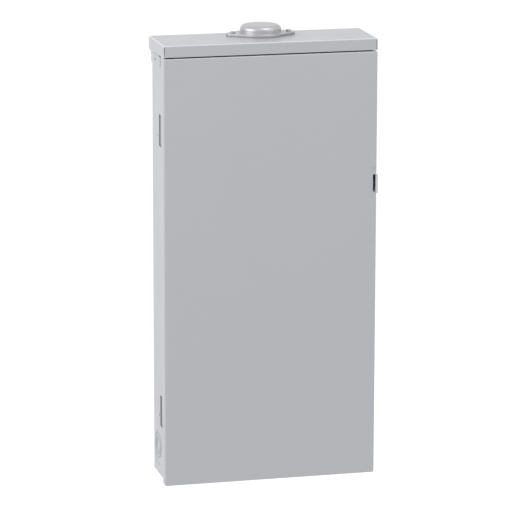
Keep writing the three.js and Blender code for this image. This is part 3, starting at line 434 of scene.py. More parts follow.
def together(shapes):
    """Several shapes as one bmesh. The shapes are used up."""
    whole = bmesh.new()
    for shape in shapes:
        mesh = bpy.data.meshes.new("shape")
        shape.to_mesh(mesh)
        shape.free()
        whole.from_mesh(mesh)
        bpy.data.meshes.remove(mesh)
    return whole


def as_object(bm):
    mesh = bpy.data.meshes.new("shape")
    bm.to_mesh(mesh)
    bm.free()
    helper = bpy.data.objects.new("shape", mesh)
    bpy.context.scene.collection.objects.link(helper)
    return helper


def combine(operation, bm, tools):
    """A boolean of a shape with tools that don't touch each other. All of them are used up."""
    helpers = [as_object(bm), as_object(together(tools))]
    modifier = helpers[0].modifiers.new("combine", "BOOLEAN")
    modifier.operation = operation
    modifier.solver = "EXACT"
    modifier.object = helpers[1]
    graph = bpy.context.evaluated_depsgraph_get()
    mesh = bpy.data.meshes.new_from_object(helpers[0].evaluated_get(graph), depsgraph=graph)
    result = bmesh.new()
    result.from_mesh(mesh)
    for helper in helpers:
        data = helper.data
        bpy.data.objects.remove(helper)
        bpy.data.meshes.remove(data)
    bpy.data.meshes.remove(mesh)
    bmesh.ops.remove_doubles(result, verts=result.verts, dist=WELD)
    bmesh.ops.dissolve_limit(result, angle_limit=FLAT_ANGLE, verts=result.verts, edges=result.edges)
    return result


def cut(bm, tools):
    return combine("DIFFERENCE", bm, tools)


def weld(bm, tools):
    return combine("UNION", bm, tools)


def bevel_sharp(bm, width, segments=2):
    """Rounds every edge that turns by more than the sharp angle."""
    edges = [e for e in bm.edges if e.is_manifold and e.calc_face_angle() > SHARP_ANGLE]
    bmesh.ops.bevel(
        bm, geom=edges, offset=width, segments=segments, profile=0.5, affect="EDGES", clamp_overlap=True
    )
    return bm


def bevel_top(bm, width):
    """Rounds the edges of a shape's highest face."""
    top = max(vertex.co.z for vertex in bm.verts)
    edges = [e for e in bm.edges if all(vertex.co.z > top - WELD for vertex in e.verts)]
    bmesh.ops.bevel(bm, geom=edges, offset=width, segments=3, profile=0.5, affect="EDGES")
    return bm


def cad_shape(node):
    """A node's CAD mesh with its vertices welded and its flat faces whole."""
    bm = bmesh.new()
    bm.from_mesh(frame["nodes"][node].data)
    bmesh.ops.remove_doubles(bm, verts=bm.verts, dist=WELD)
    bmesh.ops.dissolve_limit(bm, angle_limit=FLAT_ANGLE, verts=bm.verts, edges=bm.edges)
    return bm


def middle(node):
    low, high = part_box(node)
    return (low + high) / 2


def add_piece(name, bm, body, look):
    """A shown piece from a bmesh in the row frame."""
    mesh = bpy.data.meshes.new(name)
    bm.to_mesh(mesh)
    bm.free()
    for polygon in mesh.polygons:
        polygon.use_smooth = True
    mesh.set_sharp_from_angle(angle=SHARP_ANGLE)
    mesh.materials.append(LOOKS[look])
    piece = bpy.data.objects.new(name, mesh)
    bpy.context.scene.collection.objects.link(piece)
    flatten = piece.modifiers.new("even_shading", "WEIGHTED_NORMAL")
    flatten.keep_sharp = True
    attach(piece, body)
    return piece


def stand_in(node, bm):
    """A piece shown in place of a CAD node."""
    piece = add_piece(node + "_fine", bm, BODY_OF[node], SLOT_OF[node])
    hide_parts(node)
    return piece


def made(node, shape, *sizes):
    """A piece made by a function of its node's name, shown in place of that node."""
    stand_in(node, shape(node, *sizes))


def softened(node, width, segments=2):
    """A node's own shape with its sharp edges rounded."""
    stand_in(node, bevel_sharp(cad_shape(node), width, segments))


# ------------ sheet metal

STEEL = 1.5 * MM
DOOR_STEEL = 1.2 * MM
FOLD = 2.5 * MM
CORNER = 2.6 * MM  # rounding where two folded edges meet
LEAST_CORNER = 0.05 * MM
SHEET_EDGE = 0.25 * MM  # rounding of a sheet's cut edge
SCREW_HOLE = 2.4 * MM
RIVET_HOLE = 1.9 * MM
PAD_RISE = 0.5 * MM  # raised seat under the hub's gasket
ENDS = ("top", "bottom")
HINGES = ("upper", "lower")
SIDES = {"left": -1, "right": 1}


def folded_tray(half_u, half_v, depth, steel, place):
    """A sheet with all four edges folded up.

    place takes u, v and the depth below the face to the row frame.
    """
    centre = (FOLD, FOLD)
    profile = [
        *arc(centre, FOLD, 270, 180),
        (0, depth),
        (steel, depth),
        *arc(centre, FOLD - steel, 180, 270),
    ]
    rings = []
    for inset, drop in profile:
        u, v = half_u - inset, half_v - inset
        outline = rectangle((-u, -v), (u, v), max(CORNER - inset, LEAST_CORNER))
        rings.append([place(a, b, drop) for a, b in outline])
    return skin(rings)


GROOVE = 1.0 * MM
GROOVE_DEPTH = 0.9 * MM
GROOVE_STEPS = 20
RING_SINK = 0.6 * MM
KNOCKOUT_TIE = 2.2 * MM
KNOCKOUT_OUTER = 31.0 * MM
KNOCKOUT_RADII = [radius * MM for radius in (21.8, 17.3, 14.2, 11.1)]
SIDE_RING_SHIFT = (-7.1 * MM, -2.4 * MM)  # the outer ring is off centre on the side walls


def knockout_rings(centre, outer_shift):
    """Centre and radius of each ring, largest first."""
    outer_centre = (centre[0] + outer_shift[0], centre[1] + outer_shift[1])
    return [(outer_centre, KNOCKOUT_OUTER), *((centre, radius) for radius in KNOCKOUT_RADII)]


def knockout_grooves(axis, rings, face, inward):
    """Cutters for the grooves around a knockout's rings, each broken by two ties."""
    length = spread(face - inward * PAST, face + inward * GROOVE_DEPTH)
    cutters = []
    for number, (centre, radius) in enumerate(rings):
        gap = math.degrees(math.asin(KNOCKOUT_TIE / 2 / radius))
        first = 45 + 90 * number
        for start in (first + gap, first + 180 + gap):
            end = start + 180 - 2 * gap
            outer = arc(centre, radius, start, end, GROOVE_STEPS)
            inner = arc(centre, radius - GROOVE, end, start, GROOVE_STEPS)
            cutters.append(prism(axis, outer + inner, length))
    return cutters


def knockout_steps(axis, rings, face, inward):
    """Cutters that sink every second ring of a knockout a little."""
    length = spread(face - inward * PAST, face + inward * RING_SINK)
    beyond = past(length[0], length[1])
    cutters = []
    for number in range(0, len(rings), 2):
        centre, radius = rings[number]
        step = rod(axis, centre, radius - GROOVE / 2, length)
        if number + 1 < len(rings):
            centre, radius = rings[number + 1]
            step = cut(step, [rod(axis, centre, radius + GROOVE / 2, beyond)])
        cutters.append(step)
    return cutters


def with_knockout(shape, axis, rings, face, inward):
    shape = cut(shape, knockout_grooves(axis, rings, face, inward))
    return cut(shape, knockout_steps(axis, rings, face, inward))


def keyhole(centre):
    """A round hole for a screw's head with a narrow slot above it."""
    wide = 3.5 * MM
    narrow = 2.0 * MM
    rise = 6.5 * MM
    join = math.degrees(math.acos(narrow / wide))
    top = (centre[0], centre[1] + rise)
    return [*arc(centre, wide, 180 - join, 360 + join, 24), *arc(top, narrow, 0, 180, 12)]


def mount_place(name):
    return Vector(next(mount["pos_m"] for mount in record["mounts"] if mount["name"] == name))


def joint_place(name):
    return Vector(next(joint["pos_m"] for joint in frame["joints"] if joint["name"] == name))


# ------------ enclosure

WALL_HOLE = (110 * MM, 300 * MM)  # across and up from the middle of the back
SMALL_KNOCKOUT_X = 95 * MM
HOOD_GAP = 2.4 * MM  # between the door's top and the hood's lip
LIP_RISE = 0.6 * MM  # of the lip's lower edge over the side flanges'
LIP_RETURN = 8 * MM  # depth of the lip's turned-in edge
LIP_RETURN_INSET = 5 * MM
PAD_MARGIN = 1.4 * MM
PAD_EDGE = 0.4 * MM
SEAM_DEPTH = 9 * MM  # of the slit between the lip and each side flange
DRAIN_SLOT_Y = (-51 * MM, -43 * MM)
DRAIN_SLOT_DROP = (1 * MM, 5.9 * MM)  # below the side flanges' lower edge
DRAIN_SLOT_CORNER = 1.2 * MM
JOGGLE_DROP = 6.9 * MM
TAB_LENGTH = 68 * MM
TAB_NOSE = 0.4 * MM
TAB_TAPER = 3 * MM
TAB_LAP = 2 * MM  # how far a tab's top is sunk into the side flange's steel


def enclosure_shape():
    """Back and side walls from one sheet, folded at the two back corners."""
    low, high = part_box("enclosure_body")
    half = high.x - STEEL / 2
    back = high.y - STEEL / 2
    radius = FOLD - STEEL / 2
    path = [
        (half, low.y),
        *arc((half - radius, back - radius), radius, 0, 90),
        *arc((radius - half, back - radius), radius, 90, 180),
        (-half, low.y),
    ]
    shape = prism("Z", band(path, STEEL), (low.z, high.z))
    left_wall = past(low.x, low.x + STEEL)
    back_wall = past(high.y - STEEL, high.y)
    cutters = hinge_windows(left_wall)
    rivet = middle("hood_rivet_left").yz
    for side in SIDES.values():
        wall = spread(side * left_wall[0], side * left_wall[1])
        cutters.append(rod("X", rivet, RIVET_HOLE, wall))
    for x in (-WALL_HOLE[0], WALL_HOLE[0]):
        for z in (-WALL_HOLE[1], WALL_HOLE[1]):
            cutters.append(prism("Y", keyhole((x, z)), back_wall))
    for name in SIDES:
        cutters.append(rod("Y", middle("interior_screw_" + name).xz, SCREW_HOLE, back_wall))
    shape = cut(shape, cutters)
    for name, side in SIDES.items():
        centre = mount_place(name + "_conduit_face")
        rings = knockout_rings((centre.y, centre.z), SIDE_RING_SHIFT)
        shape = with_knockout(shape, "X", rings, centre.x, -side)
    return bevel_sharp(shape, SHEET_EDGE)


def hinge_windows(wall):
    """Cutters through the left wall for the hinges' arms and rivets."""
    front = joint_place("door_hinge").y - 2 * MM
    back = -53 * MM
    inset = 6 * MM
    corner = 1.5 * MM
    cutters = []
    for place in HINGES:
        low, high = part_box("hinge_bracket_" + place)
        window = rectangle((front, low.z + inset), (back, high.z - inset), corner)
        rivet = middle("hinge_rivet_" + place).yz
        cutters += [prism("X", window, wall), rod("X", rivet, RIVET_HOLE, wall)]
    return cutters


def bottom_wall_shape():
    """Bottom plate with flanges up along three sides: a tray of twice the depth, cut in two."""
    low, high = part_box("bottom_end_wall")
    depth = high.y - low.y
    shape = folded_tray(high.x, depth, high.z - low.z, STEEL, lambda u, v, d: (u, low.y + v, low.z + d))
    front_half = block(past(low.x, high.x), (low.y - depth - PAST, low.y), past(low.z, high.z))
    shape = cut(shape, [front_half])
    centre = mount_place("bottom_conduit_face")
    shape = with_knockout(shape, "Z", knockout_rings((centre.x, centre.y), (0, 0)), low.z, 1)
    small = [((side * SMALL_KNOCKOUT_X, centre.y), KNOCKOUT_RADII[-1]) for side in SIDES.values()]
    grooves = knockout_grooves("Z", small, low.z, 1)
    return bevel_sharp(cut(shape, grooves), SHEET_EDGE)


def hood_shape():
    """Top cap with a front lip, side flanges, and a joggled tab down each side of the box."""
    low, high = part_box("hood")
    top = high.z - PAD_RISE
    lip_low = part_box("door_panel")[1].z + HOOD_GAP
    flange_low = lip_low - LIP_RISE
    half_depth = (high.y - low.y) / 2
    shape = folded_tray(
        high.x,
        half_depth,
        top - flange_low,
        STEEL,
        lambda u, v, d: (u, low.y + half_depth + v, top - d),
    )
    pad = bevel_top(prism("Z", lozenge(PAD_MARGIN), (top - STEEL / 2, high.z)), PAD_EDGE)
    lip_return = block(
        (low.x + LIP_RETURN_INSET, high.x - LIP_RETURN_INSET),
        (low.y + STEEL / 2, low.y + LIP_RETURN),
        (lip_low, lip_low + DOOR_STEEL),
    )
    shape = weld(shape, [pad, lip_return, *hood_tabs(flange_low)])
    inner = high.x - STEEL
    body_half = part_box("enclosure_body")[1].x
    notch = body_half + 3 * MM
    back_flange = block(
        (-notch, notch),
        (high.y - STEEL - 0.3 * MM, high.y + PAST),
        (flange_low - PAST, top - STEEL),
    )
    lip_trim = block((-inner, inner), past(low.y, low.y + STEEL), (flange_low - PAST, lip_low))
    shape = cut(shape, [back_flange, lip_trim])
    through = (top - 2 * STEEL, high.z + PAST)
    hub = middle("hub_closing_plate")
    cutters = [rod("Z", (hub.x, hub.y), HUB_BORE, through)]
    slot_low = flange_low - DRAIN_SLOT_DROP[1]
    slot_high = flange_low - DRAIN_SLOT_DROP[0]
    slot = rectangle((DRAIN_SLOT_Y[0], slot_low), (DRAIN_SLOT_Y[1], slot_high), DRAIN_SLOT_CORNER)
    for name, side in SIDES.items():
        wall = spread(side * body_half, side * (high.x + PAST))
        seam = spread(side * inner, side * (inner - GROOVE))
        cutters += [
            block(seam, (low.y - PAST, low.y + SEAM_DEPTH), (flange_low - PAST, top - FOLD)),
            prism("X", slot, wall),
            rod("X", middle("hood_rivet_" + name).yz, RIVET_HOLE, wall),
            rod("Z", middle("hub_stud_" + name).xy, HUB_HOLE, through),
        ]
    return bevel_sharp(cut(shape, cutters), SHEET_EDGE)


def hood_tabs(flange_low):
    """The joggle and the tab that laps the box on each side, thinned at its front edge."""
    low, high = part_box("hood")
    clearance = 0.02 * MM
    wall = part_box("enclosure_body")[1].x + clearance
    inner = high.x - STEEL
    joggle_low = flange_low - JOGGLE_DROP
    front = high.y - TAB_LENGTH
    tabs = []
    for side in SIDES.values():
        rings = []
        for y, thickness in ((front, TAB_NOSE), (front + TAB_TAPER, STEEL), (high.y, STEEL)):
            upper = side * (inner + thickness / 2)
            lower = side * (wall + thickness / 2)
            path = [(upper, flange_low + TAB_LAP), (upper, flange_low), (lower, joggle_low), (lower, low.z)]
            rings.append([(u, y, v) for u, v in band(path, thickness)])
        tabs.append(skin(rings))
    return tabs


# ------------ hub closing plate

HUB_BORE = 31 * MM
HUB_HOLE = 2.6 * MM
DOME_RADIUS = 35.35 * MM
DOME_WALL = 2.5 * MM
DOME_SIDES = 96
SHOULDER = (9.5 * MM, 7.5 * MM)  # run towards the middle and drop from the dome's top


def lozenge(margin=0.0):
    """A large circle and two ear circles joined by their common tangents, with a margin all round."""
    plate_low, plate_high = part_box("hub_closing_plate")
    centre = middle("hub_closing_plate")
    reach = middle("hub_stud_right").x - centre.x
    large = (plate_high.y - plate_low.y) / 2
    ear = plate_high.x - centre.x - reach
    slope = math.degrees(math.acos((large - ear) / reach))
    left = (centre.x - reach, centre.y)
    right = (centre.x + reach, centre.y)
    steps = 16
    return [
        *arc((centre.x, centre.y), large + margin, slope, 180 - slope, steps),
        *arc(left, ear + margin, 180 - slope, 180 + slope, steps),
        *arc((centre.x, centre.y), large + margin, 180 + slope, 360 - slope, steps),
        *arc(right, ear + margin, -slope, slope, steps),
    ]


def stud_holes(length):
    return [rod("Z", middle("hub_stud_" + name).xy, HUB_HOLE, length) for name in SIDES]


def dome_profile(radius, top):
    """From the dome's wall over its round shoulder to a small ring at the middle of its top."""
    run, drop = SHOULDER
    shoulder = [
        (radius - run * (1 - math.cos(a)), top - drop * (1 - math.sin(a)))
        for a in quarter(range(13), 12)
    ]
    return [*shoulder, (1 * MM, top)]


def hub_plate_shape():
    """Cast cap: a lozenge flange and a hollow dome, open underneath."""
    low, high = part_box("hub_closing_plate")
    centre = middle("hub_closing_plate").xy
    flange_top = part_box("hub_nut_left")[0].z - 0.3 * MM
    flange = bevel_sharp(prism("Z", lozenge(), (low.z, flange_top)), 0.5 * MM, 3)
    fillet = 1.0 * MM
    foot = arc((DOME_RADIUS + fillet, flange_top + fillet), fillet, 270, 180, 5)
    dome = [(foot[0][0], low.z + 1 * MM), *foot, *dome_profile(DOME_RADIUS, high.z)]
    inner = DOME_RADIUS - DOME_WALL
    hollow = [(inner, low.z - PAST), *dome_profile(inner, high.z - DOME_WALL)]
    shape = weld(flange, [turned("Z", centre, dome, DOME_SIDES)])
    through = past(low.z, flange_top)
    return cut(shape, [turned("Z", centre, hollow, DOME_SIDES), *stud_holes(through)])


def gasket_shape():
    low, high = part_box("hub_gasket")
    centre = middle("hub_gasket").xy
    through = past(low.z, high.z)
    shape = prism("Z", lozenge(), (low.z, high.z))
    shape = cut(shape, [rod("Z", centre, HUB_BORE - 1 * MM, through), *stud_holes(through)])
    return bevel_sharp(shape, 0.2 * MM)


# ------------ fasteners

THREAD_PITCH = 0.8 * MM
THREAD_DEPTH = 0.35 * MM
TURNED_EDGE = 0.3 * MM  # chamfer on turned heads


def thread(radius, start, end):
    """Profile points of a thread, as rings from start to end."""
    root = radius - THREAD_DEPTH
    count = max(1, round(abs(end - start) / THREAD_PITCH))
    step = (end - start) / count
    points = []
    for i in range(count):
        points.append((root, start + step * (i + 0.1)))
        points.append((radius, start + step * (i + 0.5)))
        points.append((root, start + step * (i + 0.9)))
    return points


def nut_shape(node):
    """Hexagon nut with chamfered corners and a countersunk bore."""
    low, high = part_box(node)
    centre = middle(node).xy
    radius = (high.x - low.x) / 2
    flat = 0.83 * radius
    beyond = radius + 0.05 * MM
    rise = 0.5 * MM
    profile = [(flat, low.z), (beyond, low.z + rise), (beyond, high.z - rise), (flat, high.z)]
    hexagon = prism("Z", circle(centre, radius, 6), past(low.z, high.z))
    shape = combine("INTERSECT", hexagon, [turned("Z", centre, profile)])
    sink = 0.4 * MM
    bore = [
        (HUB_HOLE + sink + PAST, low.z - PAST),
        (HUB_HOLE, low.z + sink),
        (HUB_HOLE, high.z - sink),
        (HUB_HOLE + sink + PAST, high.z + PAST),
    ]
    return cut(shape, [turned("Z", centre, bore)])


def stud_shape(node):
    """Threaded stud with a flat round head under the hood."""
    low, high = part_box(node)
    head = (high.x - low.x) / 2
    head_top = low.z + 2 * MM
    shank = 2.3 * MM
    profile = [
        (head - TURNED_EDGE, low.z),
        (head, low.z + TURNED_EDGE),
        (head, head_top - TURNED_EDGE),
        (head - TURNED_EDGE, head_top),
        (shank, head_top),
        *thread(shank, head_top + 1 * MM, high.z - 1 * MM),
        (shank - 0.1 * MM, high.z - 0.6 * MM),
        (shank - 0.7 * MM, high.z),
    ]
    return turned("Z", middle(node).xy, profile)


def screw_shape(node, head_height, shank=2 * MM):
    """Pan-head screw pointing to the wall, with a cross recess and a thread."""
    low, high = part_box(node)
    centre = middle(node).xz
    head = (high.x - low.x) / 2
    seat = low.y + head_height
    rounding = (0.45 * head, 0.65 * head_height)
    crown = [
        (head - rounding[0] * (1 - math.cos(a)), low.y + rounding[1] * (1 - math.sin(a)))
        for a in quarter(range(ARC_STEPS, -1, -1))
    ]
    profile = [
        (0.2 * head, low.y),
        *crown,
        (head, seat),
        (shank, seat),
        *thread(shank, seat + 0.2 * MM, high.y - 0.6 * MM),
        (0.5 * shank, high.y),
    ]
    shape = turned("Y", centre, profile)
    long, wide = 0.55 * head, 0.13 * head
    arm = [(long, wide), (wide, wide), (wide, long)]
    outline = []
    for _ in range(4):
        outline += [(centre[0] + u, centre[1] + v) for u, v in arm]
        arm = [(-v, u) for u, v in arm]
    recess = prism("Y", outline, (low.y - PAST, low.y + 0.55 * head_height))
    return cut(shape, [recess])


def rivet_shape(node, side):
    """Blind rivet along X: a domed head outside with the mandrel's hole, and a bulged tail inside."""
    low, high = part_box(node)
    outside, inside = (high.x, low.x) if side > 0 else (-low.x, -high.x)
    head = (high.y - low.y) / 2
    head_height = 0.8 * MM
    shank = 1.6 * MM
    tail = 2.4 * MM
    tail_length = 1.6 * MM
    hole = 0.75 * MM
    dome = [
        (head * math.sin(a), outside - head_height * (1 - math.cos(a)))
        for a in quarter(range(2, ARC_STEPS + 1))
    ]
    profile = [
        (hole, outside - 1 * MM),
        (hole, outside - 0.1 * MM),
        *dome,
        (shank, outside - head_height),
        (shank, inside + tail_length),
        (tail, inside + 0.8 * tail_length),
        (tail, inside + 0.4 * tail_length),
        (0.6 * tail, inside),
    ]
    return turned("X", middle(node).yz, [(radius, side * x) for radius, x in profile])


def pin_shape(node, shank, head_height):
    """Upright pin with a round head on top and a chamfered foot."""
    low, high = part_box(node)
    head = (high.x - low.x) / 2
    neck = high.z - head_height
    profile = [
        (shank - TURNED_EDGE, low.z),
        (shank, low.z + 2 * TURNED_EDGE),
        (shank, neck),
        (head, neck),
        (head, high.z - TURNED_EDGE),
        (head - TURNED_EDGE, high.z),
    ]
    return turned("Z", middle(node).xy, profile)


def add_fasteners():
    for name, side in SIDES.items():
        made("hub_nut_" + name, nut_shape)
        made("hub_stud_" + name, stud_shape)
        made("hood_rivet_" + name, rivet_shape, side)
        made("interior_screw_" + name, screw_shape, 2 * MM)
        for end in ENDS:
            made(f"deadfront_screw_{end}_{name}", screw_shape, 2.4 * MM)
    made("bonding_screw", screw_shape, 3.4 * MM, 2.5 * MM)
    for place in HINGES:
        made("hinge_rivet_" + place, rivet_shape, -1)
        made("hinge_pin_" + place, pin_shape, 1.3 * MM, 1 * MM)
    made("latch_pin", pin_shape, 1.35 * MM, 0.9 * MM)


# ------------ door and latch

RECESS_BELOW = 6.3 * MM
RECESS_ABOVE = 13.8 * MM
RECESS_WIDTH = 15.4 * MM
RECESS_DEPTH = 1.2 * MM
RECESS_RAMP = 6.3 * MM
RECESS_END_RAMP = 2.2 * MM
END_FLANGE = 10 * MM  # the door's top and bottom flanges are shallower than its sides


def door_shape():
    """Folded pan with a pressed recess at the latch and a cut-out open to the door's edge."""
    low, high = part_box("door_panel")
    centre_z = (low.z + high.z) / 2
    half_z = (high.z - low.z) / 2
    depth = high.y - low.y
    shape = folded_tray(high.x, half_z, depth, DOOR_STEEL, lambda u, v, d: (u, low.y + d, centre_z + v))
    lever_low, lever_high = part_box("latch_lever")
    recess_z = (lever_low.z - RECESS_BELOW, lever_high.z + RECESS_ABOVE)
    start = high.x - RECESS_WIDTH
    sheet_y = low.y + DOOR_STEEL / 2
    path = [
        (start, sheet_y + 0.05 * MM),
        (start + RECESS_RAMP, sheet_y + RECESS_DEPTH),
        (high.x - DOOR_STEEL + 0.1 * MM, sheet_y + RECESS_DEPTH),
    ]
    behind = prism("Z", band(path, DOOR_STEEL), (recess_z[0] - DOOR_STEEL, recess_z[1] + DOOR_STEEL))
    shape = weld(shape, [behind])
    far = high.x + PAST
    corner = 0.8 * MM
    rings = []
    for share in (-0.5, 0, 1):
        near = (start + share * RECESS_RAMP, recess_z[0] + share * RECESS_END_RAMP)
        outline = rectangle(near, (far, recess_z[1] - share * RECESS_END_RAMP), corner)
        rings.append([(u, low.y + share * RECESS_DEPTH, v) for u, v in outline])
    inner = high.x - DOOR_STEEL
    beyond = high.y + PAST
    short = (low.y + END_FLANGE, beyond)
    short_flanges = [
        block((-inner, inner), short, (low.z - PAST, low.z + FOLD)),
        block((-inner, inner), short, (high.z - FOLD, high.z + PAST)),
    ]
    shape = cut(shape, [skin(rings), *short_flanges])
    slot_left = high.x - 6.6 * MM
    slot_z = (lever_low.z + 2.7 * MM, lever_high.z + 0.8 * MM)
    radius = 2.2 * MM
    slot = [
        (far, slot_z[0]),
        (far, slot_z[1]),
        *arc((slot_left + radius, slot_z[1] - radius), radius, 90, 180),
        *arc((slot_left + radius, slot_z[0] + radius), radius, 180, 270),
    ]
    shape = cut(shape, [prism("Y", slot, (low.y - PAST, low.y + RECESS_DEPTH + 2 * DOOR_STEEL))])
    gap_z = (lever_low.z - 0.6 * MM, lever_high.z + 1 * MM)
    lever_gap = block((inner - PAST, far), (low.y - PAST, beyond), gap_z)
    return bevel_sharp(cut(shape, [lever_gap]), SHEET_EDGE)


def spring_shape():
    """Torsion spring: coils around the pin, one leg on the bracket and one behind the lever's arm."""
    low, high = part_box("latch_spring")
    pin = middle("latch_pin")
    wire = 0.28 * MM
    coil = 1.95 * MM
    turns = 8
    steps = 16
    bottom = low.z + wire
    top = high.z - wire
    path = [(pin.x - coil, high.y - wire, bottom)]
    for i in range(turns * steps + 1):
        angle = math.pi + 2 * math.pi * i / steps
        height = bottom + (top - bottom) * i / (turns * steps)
        path.append((pin.x + coil * math.cos(angle), pin.y + coil * math.sin(angle), height))
    path.append((pin.x - 0.6 * MM, low.y + wire, top))
    return tube(path, wire)


def add_door_and_latch():
    stand_in("door_panel", door_shape())
    stand_in("latch_spring", spring_shape())
    softened("directory_card", 0.06 * MM)
    softened("latch_lever", 0.25 * MM, 3)
    softened("latch_bracket", 0.2 * MM)
    for place in HINGES:
        softened("hinge_leaf_" + place, 0.2 * MM)
        softened("hinge_bracket_" + place, 0.25 * MM)


# ------------ inner cover

COVER_EDGE = 8 * MM  # depth of the inner cover's turned edge
ROW_PITCH = 25.4 * MM
ROW_COUNT = 10
ROWS_IN_USE = 3
NOSE = (24 * MM, 60 * MM)  # a branch breaker's nose, from the middle of the box outwards
CLEARANCE = 0.5 * MM


def row_z(row):
    return middle("branch_case_right_1").z - row * ROW_PITCH


def blank_grooves(side, face):
    """Cutters around one column's twist-out blanks, each line broken by a tie, and a pry mark in each."""
    groove = 0.7 * MM
    tie = 3 * MM
    mark_half = (6 * MM, 0.8 * MM)
    mark_corner = 0.75 * MM
    y = (face - PAST, face + 0.5 * MM)
    inner, outer = NOSE[0] + groove, NOSE[1] - groove
    centre = (inner + outer) / 2
    cutters = []
    for row in range(ROWS_IN_USE, ROW_COUNT + 1):
        z = row_z(row) + ROW_PITCH / 2
        line = (z - groove / 2, z + groove / 2)
        for ends in ((inner, centre - tie / 2), (centre + tie / 2, outer)):
            cutters.append(block(spread(side * ends[0], side * ends[1]), y, line))
    for row in range(ROWS_IN_USE, ROW_COUNT):
        z = row_z(row)
        line = (z - ROW_PITCH / 2 + groove, z + ROW_PITCH / 2 - groove)
        for edge in NOSE:
            cutters.append(block(spread(side * (edge - groove / 2), side * (edge + groove / 2)), y, line))
        mark_low = (side * centre - mark_half[0], z - mark_half[1])
        mark_high = (side * centre + mark_half[0], z + mark_half[1])
        cutters.append(prism("Y", rectangle(mark_low, mark_high, mark_corner), y))
    return cutters


def cover_shape():
    """Inner cover with its edges turned forward, breaker windows, and blanks below them."""
    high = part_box("deadfront_cover")[1]
    face = high.y - DOOR_STEEL
    shape = folded_tray(high.x, high.z, COVER_EDGE, DOOR_STEEL, lambda u, v, d: (u, high.y - d, v))
    through = past(face, high.y)
    main_z = middle("main_breaker_case").z
    half_x = 32 * MM + CLEARANCE
    half_z = 37 * MM + CLEARANCE
    corner = 1 * MM
    windows = [rectangle((-half_x, main_z - half_z), (half_x, main_z + half_z), corner)]
    half_row = ROW_PITCH / 2 + CLEARANCE
    rows = (row_z(ROWS_IN_USE - 1) - half_row, row_z(0) + half_row)
    for side in SIDES.values():
        x = spread(side * (NOSE[0] - CLEARANCE), side * (NOSE[1] + CLEARANCE))
        windows.append(rectangle((x[0], rows[0]), (x[1], rows[1]), corner))
    cutters = [prism("Y", window, through) for window in windows]
    for end in ENDS:
        for name in SIDES:
            screw = middle(f"deadfront_screw_{end}_{name}").xz
            cutters.append(rod("Y", screw, SCREW_HOLE, through))
    grooves = blank_grooves(-1, face) + blank_grooves(1, face)
    return bevel_sharp(cut(cut(shape, cutters), grooves), 0.2 * MM)


def add_cover():
    stand_in("deadfront_cover", cover_shape())
    for end in ENDS:
        softened("deadfront_rail_" + end, 0.2 * MM)


# ------------ interior

BAR_SIDES = 24


def terminal_bar_shape(node, screws):
    """Upright bar with a row of slotted wire screws on its front and a wire hole behind each."""
    low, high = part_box(node)
    size = high.x - low.x
    front = high.y - size
    x = (low.x + high.x) / 2
    bar = bevel_sharp(block((low.x, high.x), (front, high.y), (low.z, high.z)), 0.4 * MM)
    head = 0.31 * size
    wire = 0.22 * size
    wire_y = high.y - 0.42 * size
    heights = [low.z + (i + 0.5) * (high.z - low.z) / screws for i in range(screws)]
    edge = 0.25 * MM
    heads = [(head - edge, low.y), (head, low.y + edge), (head, front + 1 * MM)]
    bar = weld(bar, [turned("Y", (x, z), heads, BAR_SIDES) for z in heights])
    slot_x = past(x - head, x + head)
    slot_y = (low.y - PAST, low.y + 0.9 * MM)
    slots = [block(slot_x, slot_y, (z - 0.5 * MM, z + 0.5 * MM)) for z in heights]
    holes = [rod("X", (wire_y, z), wire, past(low.x, high.x), BAR_SIDES) for z in heights]
    return cut(bar, slots + holes)


def lug_shape(node, width, depth, height, bore):
    """Block lug with a wire bore from above and a set screw with a hexagon socket on its front."""
    low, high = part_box(node)
    centre = middle(node)
    x = (centre.x - width / 2, centre.x + width / 2)
    front = high.y - depth
    lug = bevel_sharp(block(x, (front, high.y), (low.z, low.z + height)), 0.6 * MM)
    head = 6 * MM
    profile = [(head - TURNED_EDGE, low.y), (head, low.y + TURNED_EDGE), (head, front + 1 * MM)]
    lug = weld(lug, [turned("Y", (centre.x, centre.z), profile)])
    funnel = 1.8 * MM
    wire = [(bore, low.z + 4 * MM), (bore, high.z - 0.8 * MM), (bore + funnel, high.z + PAST)]
    hexagon = circle((centre.x, centre.z), 3 * MM, 6)
    socket = prism("Y", hexagon, (low.y - PAST, low.y + 2 * MM))
    return cut(lug, [turned("Z", (centre.x, high.y - 0.42 * depth), wire), socket])


def add_interior():
    softened("interior_pan", 0.25 * MM)
    softened("neutral_strap", 0.3 * MM)
    softened("insulator_base", 0.6 * MM)
    made("ground_bar", terminal_bar_shape, 7)
    made("neutral_lug", lug_shape, 24 * MM, 26 * MM, 28 * MM, 7.5 * MM)
    for name in SIDES:
        softened("line_bus_" + name, 0.25 * MM)
        made("neutral_bar_" + name, terminal_bar_shape, 8)
        made("main_line_lug_" + name, lug_shape, 28 * MM, 30 * MM, 28 * MM, 8.5 * MM)


# ------------ breakers

MAIN_TILT = math.radians(16)
BRANCH_TILT = math.radians(15)
TIP_CORNER = 1.6 * MM
GRIP_DEPTH = 0.4 * MM
GRIP_HALF = 0.35 * MM


